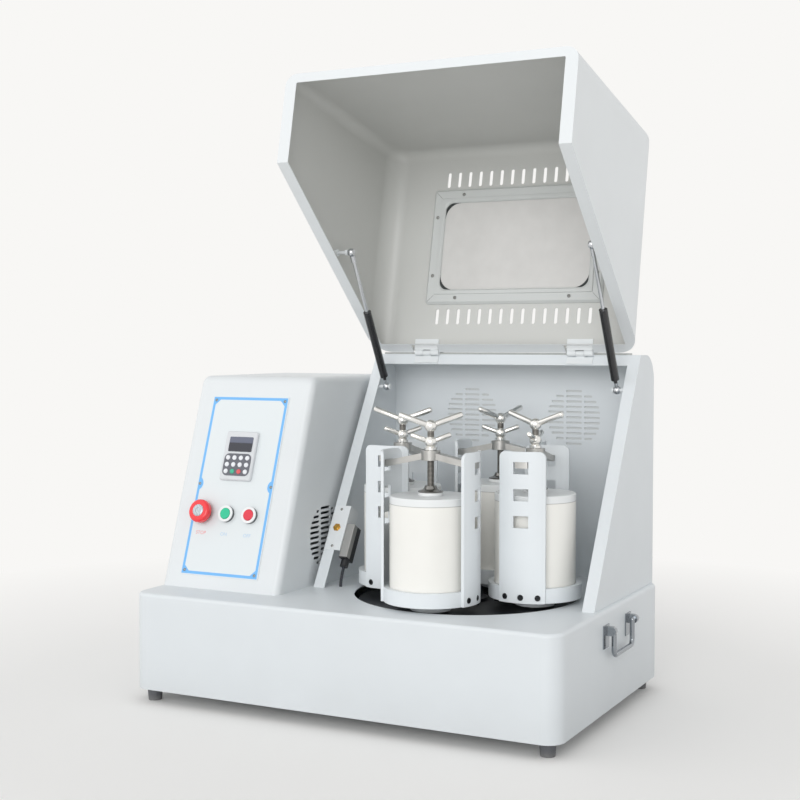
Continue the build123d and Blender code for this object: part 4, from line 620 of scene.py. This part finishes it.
line.dimensions, line.bevel_depth, line.bevel_resolution, line.use_fill_caps = "3D", 0.0025, 6, True
run = line.splines.new("NURBS")
run.points.add(len(route) - 1)
for point, spot in zip(run.points, route):
    point.co = (*spot, 1)
run.order_u, run.use_endpoint_u, run.resolution_u = 3, True, 16
line.materials.append(lead_skin.material)
lead = bpy.data.objects.new("switch_lead_cord", line)
bpy.context.collection.objects.link(lead)
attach(lead, "cabinet")
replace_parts(lead, "switch_lead")
brass = turned_metal("plunger_brass", tint(226, 176, 88), 0.22)
dress(brass, "switch_plunger")
nut = Form(flange @ shift(15, 110, 1.5))
nut.turned([(4.95, 0.05), (7.0, 0.05), (7.2, 0.3), (7.2, 1.3), (6.6, 1.7), (4.95, 1.7), (4.95, 0.05)], 6)
nut.piece("plunger_nut", "cabinet", "brass", brass, 0.2, 20)
plate_screws = Form()
for y in (76, 144):
    plate_screws.at(flange @ shift(15, y, 1.5)).turned([(r * 0.8, h * 0.7) for r, h in pan_head], 20)
plate_screws.piece("bracket_screws", "cabinet", "stainless", screw_steel.material)


# ---- jar stations ----------------------------------------------------------------------------------------------
# Each station is a seat with two curved uprights, sprayed pale grey, with black socket screws at their feet.
# A warm white jar stands in it under a brushed, gull-wing clamp bar.
station_coat = powder_coat("station_coat", tint(226, 231, 234), 0.0, 0.03, 0.4)
jar_body = Finish("jar_white", 0.4, coat_weight=0.12)
x, y, z = jar_body.place()
jar_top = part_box("jar_1")[1][2] * 1000
lid_line = jar_top - 12
seam = 1 - abs(z - lid_line).over(0.5, 0.3)
tone = jar_body.mix(z.over(lid_line, 0.4), tint(242, 241, 236), tint(234, 237, 238))
tone = jar_body.mix(jar_body.grain(26, 3.0) * 0.2, tone, tint(218, 216, 208))
jar_body.set(base_color=jar_body.mix(seam * 0.55, tone, tint(120, 118, 112)),
             roughness=0.34 + jar_body.grain(90, 2.0) * 0.14)
brushed = Finish("brushed_bar", 0.34, 0.95)
strokes = brushed.grain(1400, 3.0, (1, 1, 0.08))
brushed.set(base_color=brushed.mix(brushed.grain(40, 3.0), tint(164, 163, 160), tint(200, 199, 196)),
            roughness=0.28 + strokes * 0.2, normal=brushed.relief(strokes, 0.03))
bar_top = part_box("clamp_bar_1")[1][2] * 1000
STRAP_R = 78.6
for k in range(1, 5):
    dress(station_coat, f"pot_holder_{k}")
    dress(jar_body.material, f"jar_{k}")
    dress(brushed.material, f"clamp_bar_{k}")
    axis = next(j for j in frame["joints"] if j["name"] == f"station_{k}_spin")["pos_m"]
    socket_screws = Form()
    for side in (0, 180):
        for spread in (-20, 0, 20):
            way = -93.5 + 90 * (k - 1) + 90 + 8 + side + spread
            socket_screws.at(shift(axis[0] * 1000, axis[1] * 1000, axis[2] * 1000 + 9) @ turn(way, "Z")
                             @ shift(STRAP_R, 0, 0) @ turn(90, "Y"))
            socket_screws.turned([(0, -1.0), (2.4, -1.0), (2.4, 0.2), (3.9, 0.3), (4.4, -0.1), (4.6, -1.45),
                                  (0, -1.45)], 24)
    socket_screws.piece(f"socket_screws_{k}", f"station_{k}", "table_black", black_oxide.material)


# ---- clamps ----------------------------------------------------------------------------------------------------
# A threaded steel screw with a polished ball and two round arms, and a lock nut like it, both chromed.
# The screw's tip turns in a plated foot with a concave flank, on a white pad.
clamp_chrome = chromed("clamp_chrome", tint(244, 243, 240), 0.14)
hat_steel = chromed("hat_steel", tint(150, 149, 146), 0.2)
thread_steel = Finish("thread_steel", 0.36, 0.9)
painted_thread_shade_height = thread_steel.place()[2]
# Dark and light bands, one pair per 2 mm turn: painted shade and painted highlight of the thread's turns.
thread_steel.set(base_color=thread_steel.mix((painted_thread_shade_height * 3.1416).wave() * 0.5 + 0.5, tint(70, 68, 64),
                                             tint(168, 165, 160)),
                 roughness=0.3 + thread_steel.grain(500, 2.0) * 0.14)
pad_white = Finish("foot_pad", 0.45)
pad_white.set(base_color=pad_white.mix(pad_white.grain(90, 2.0) * 0.5, tint(242, 243, 243), tint(216, 218, 218)))
BALL = 9.8
ball_profile = [(BALL * sin(radians(a)), -BALL * cos(radians(a))) for a in range(36, 180, 9)] + [(0, BALL)]


def ball_arms(form, place, turned_by, length, thick):
    """Two round arms that rise from a ball, with domed ends."""
    for side in (0, 180):
        form.at(place @ turn(turned_by + side, "Z") @ turn(70, "Y"))
        form.turned([(0, 2), (thick * 0.92, 2), (thick, 12), (thick, length - thick * 0.6),
                     (thick * 0.8, length - thick * 0.2), (thick * 0.45, length), (0, length)], 24)


for k, (screw_turn, nut_turn) in enumerate(zip((35, -11, 67, 12), (30, 92, 18, 40)), 1):
    axis = next(j for j in frame["joints"] if j["name"] == f"station_{k}_spin")["pos_m"]
    x, y = axis[0] * 1000, axis[1] * 1000
    stem = Form(shift(x, y, 0))
    heights = [jar_top + 7.2 + 0.5 * i for i in range(int((bar_top + 32 - jar_top - 7.2) * 2))]
    flanks = [(5.45 if i % 4 < 2 else 5.05, h) for i, h in enumerate(heights)]
    stem.turned([(0, heights[0])] + flanks + [(0, heights[-1])], 28)
    stem = stem.piece(f"clamp_thread_{k}", f"clamp_screw_{k}", "chrome", thread_steel.material, sharp=25)
    top = shift(x, y, bar_top + 38.3)
    knob = Form(top).turned([(0, -BALL * 0.809)] + ball_profile, 32)
    ball_arms(knob, top, screw_turn, 54, 4.7)
    knob = knob.piece(f"clamp_handle_{k}", f"clamp_screw_{k}", "chrome", clamp_chrome)
    for made in (stem, knob):
        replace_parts(made, f"clamp_screw_{k}")
    middle = shift(x, y, bar_top + 13.3)
    lock = Form(middle)
    lock.turned([(5.6, -BALL), (5.6, -BALL * 0.9)] + ball_profile[3:-4] + [(5.6, BALL * 0.8), (5.6, -BALL)], 32)
    lock.at(shift(x, y, bar_top))
    lock.turned([(5.6, 0.3), (9.3, 0.3), (9.6, 0.7), (9.6, 4.4), (8.4, 5.4), (5.6, 5.4), (5.6, 0.3)], 36)
    for side in (0, 180):
        lock.at(middle @ turn(nut_turn + side, "Z") @ turn(70, "Y"))
        lock.turned([(0, 6.5), (3.8, 6.5), (4.1, 12), (4.1, 32), (3.2, 33.6), (1.8, 34), (0, 34)], 24)
    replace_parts(lock.piece(f"lock_nut_ball_{k}", f"lock_nut_{k}", "chrome", clamp_chrome), f"lock_nut_{k}")
    foot_at = Form(shift(x, y, jar_top))
    foot_at.turned([(5.6, 6.7), (19.0, 5.02), (19.9, 5.3), (20.2, 6.2), (19.2, 7.2), (15.6, 8.0), (12.2, 9.6),
                    (10.4, 12.0),
                    (9.4, 15.0), (8.6, 15.6), (5.6, 15.6), (5.6, 6.7)], 44)
    hat = foot_at.piece(f"foot_flank_{k}", f"pressure_foot_{k}", "chrome", hat_steel)
    pad = Form(shift(x, y, jar_top))
    pad.turned([(0, 0.05), (18.8, 0.05), (19.6, 0.8), (19.6, 4.2), (19.0, 5.0), (0, 5.0)], 44)
    pad = pad.piece(f"foot_pad_{k}", f"pressure_foot_{k}", "chrome", pad_white.material)
    for made in (hat, pad):
        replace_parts(made, f"clamp_foot_{k}")


# ---- studio ----------------------------------------------------------------------------------------------------
# A plain pale floor that runs out into a pale backdrop, a broad front lamp and a weak side lamp.
# The sky is a little dimmer overhead and to the right. The floor throws back less light than the eye sees of it.
PALE = tint(248, 247, 245)
floor = bpy.data.objects.new("floor", bpy.data.meshes.new("floor"))
floor.data.from_pydata([(-30, -30, 0), (30, -30, 0), (30, 30, 0), (-30, 30, 0)], [], [(0, 1, 2, 3)])
bpy.context.collection.objects.link(floor)


def rays_seen(finish):
    """1 for what the eye sees straight, in metal or through glass."""
    path = finish.node("ShaderNodeLightPath", None, ()).socket.node.outputs
    straight, mirrored, through = [Wire(finish, path[kind]) for kind in
                                   ("Is Camera Ray", "Is Glossy Ray", "Is Transmission Ray")]
    return straight.most(mirrored).most(through)


ground = Finish("floor_paper", 0.9)
x, y, z = ground.place()
ground.set(base_color=ground.mix(rays_seen(ground), tint(188, 188, 187), tint(250, 249, 247)))
far = (x * x + y * y).root().over(1150, 900)
glow = ground.node("ShaderNodeEmission", None, {"Color": PALE, "Strength": 1.0})
paper = Wire(ground, ground.shader.outputs[0])
both = ground.node("ShaderNodeMixShader", None, (far, paper, glow))
end = ground.tree.nodes["Material Output"]
ground.tree.links.new(both.socket, end.inputs["Surface"])
floor.data.materials.append(ground.material)


class Sky(Finish):
    """The soft light all round, built with the same nodes as a finish."""

    def __init__(self, name):
        self.material = bpy.data.worlds.new(name)
        self.material.use_nodes = True
        self.tree = self.material.node_tree
        self.tree.nodes.clear()


sky = Sky("sky")
bpy.context.scene.world = sky.material
eye = rays_seen(sky)
way = sky.node("ShaderNodeTexCoord", None, ())
split = sky.node("ShaderNodeSeparateXYZ", None, (way,))
rightward, upward = split, Wire(sky, split.socket.node.outputs["Z"])
soft = sky.node("ShaderNodeBackground", None,
                {"Color": (0.99, 0.995, 1.0, 1), "Strength": 0.94 - upward.most(0) * 0.32 - rightward.most(0) * 0.10})
seen = sky.node("ShaderNodeBackground", None, {"Color": PALE, "Strength": 1.0})
both = sky.node("ShaderNodeMixShader", None, (eye, soft, seen))
sky.tree.links.new(both.socket, sky.tree.nodes.new("ShaderNodeOutputWorld").inputs[0])

for name, turned_to, lift, strength, spread in (("key_lamp", 10, 14, 1.15, 40), ("side_lamp", -60, 30, 0.25, 60)):
    lamp = bpy.data.objects.new(name, bpy.data.lights.new(name, "SUN"))
    lamp.data.energy, lamp.data.angle = strength, radians(spread)
    lamp.rotation_euler = (radians(90 - lift), 0, radians(turned_to))
    bpy.context.collection.objects.link(lamp)

camera = bpy.data.objects.new("camera", bpy.data.cameras.new("camera"))
camera.data.sensor_width, camera.data.lens = 36.0, 62.2
camera.data.shift_x, camera.data.shift_y = 0.0015, 0.003
camera.data.clip_end = 60
camera.location = (1.0522, -2.0929, 0.5988)
camera.rotation_euler = (radians(90 - 2.57), 0, radians(27.02))
bpy.context.collection.objects.link(camera)
scene = bpy.context.scene
scene.camera = camera
scene.view_settings.view_transform = "Standard"
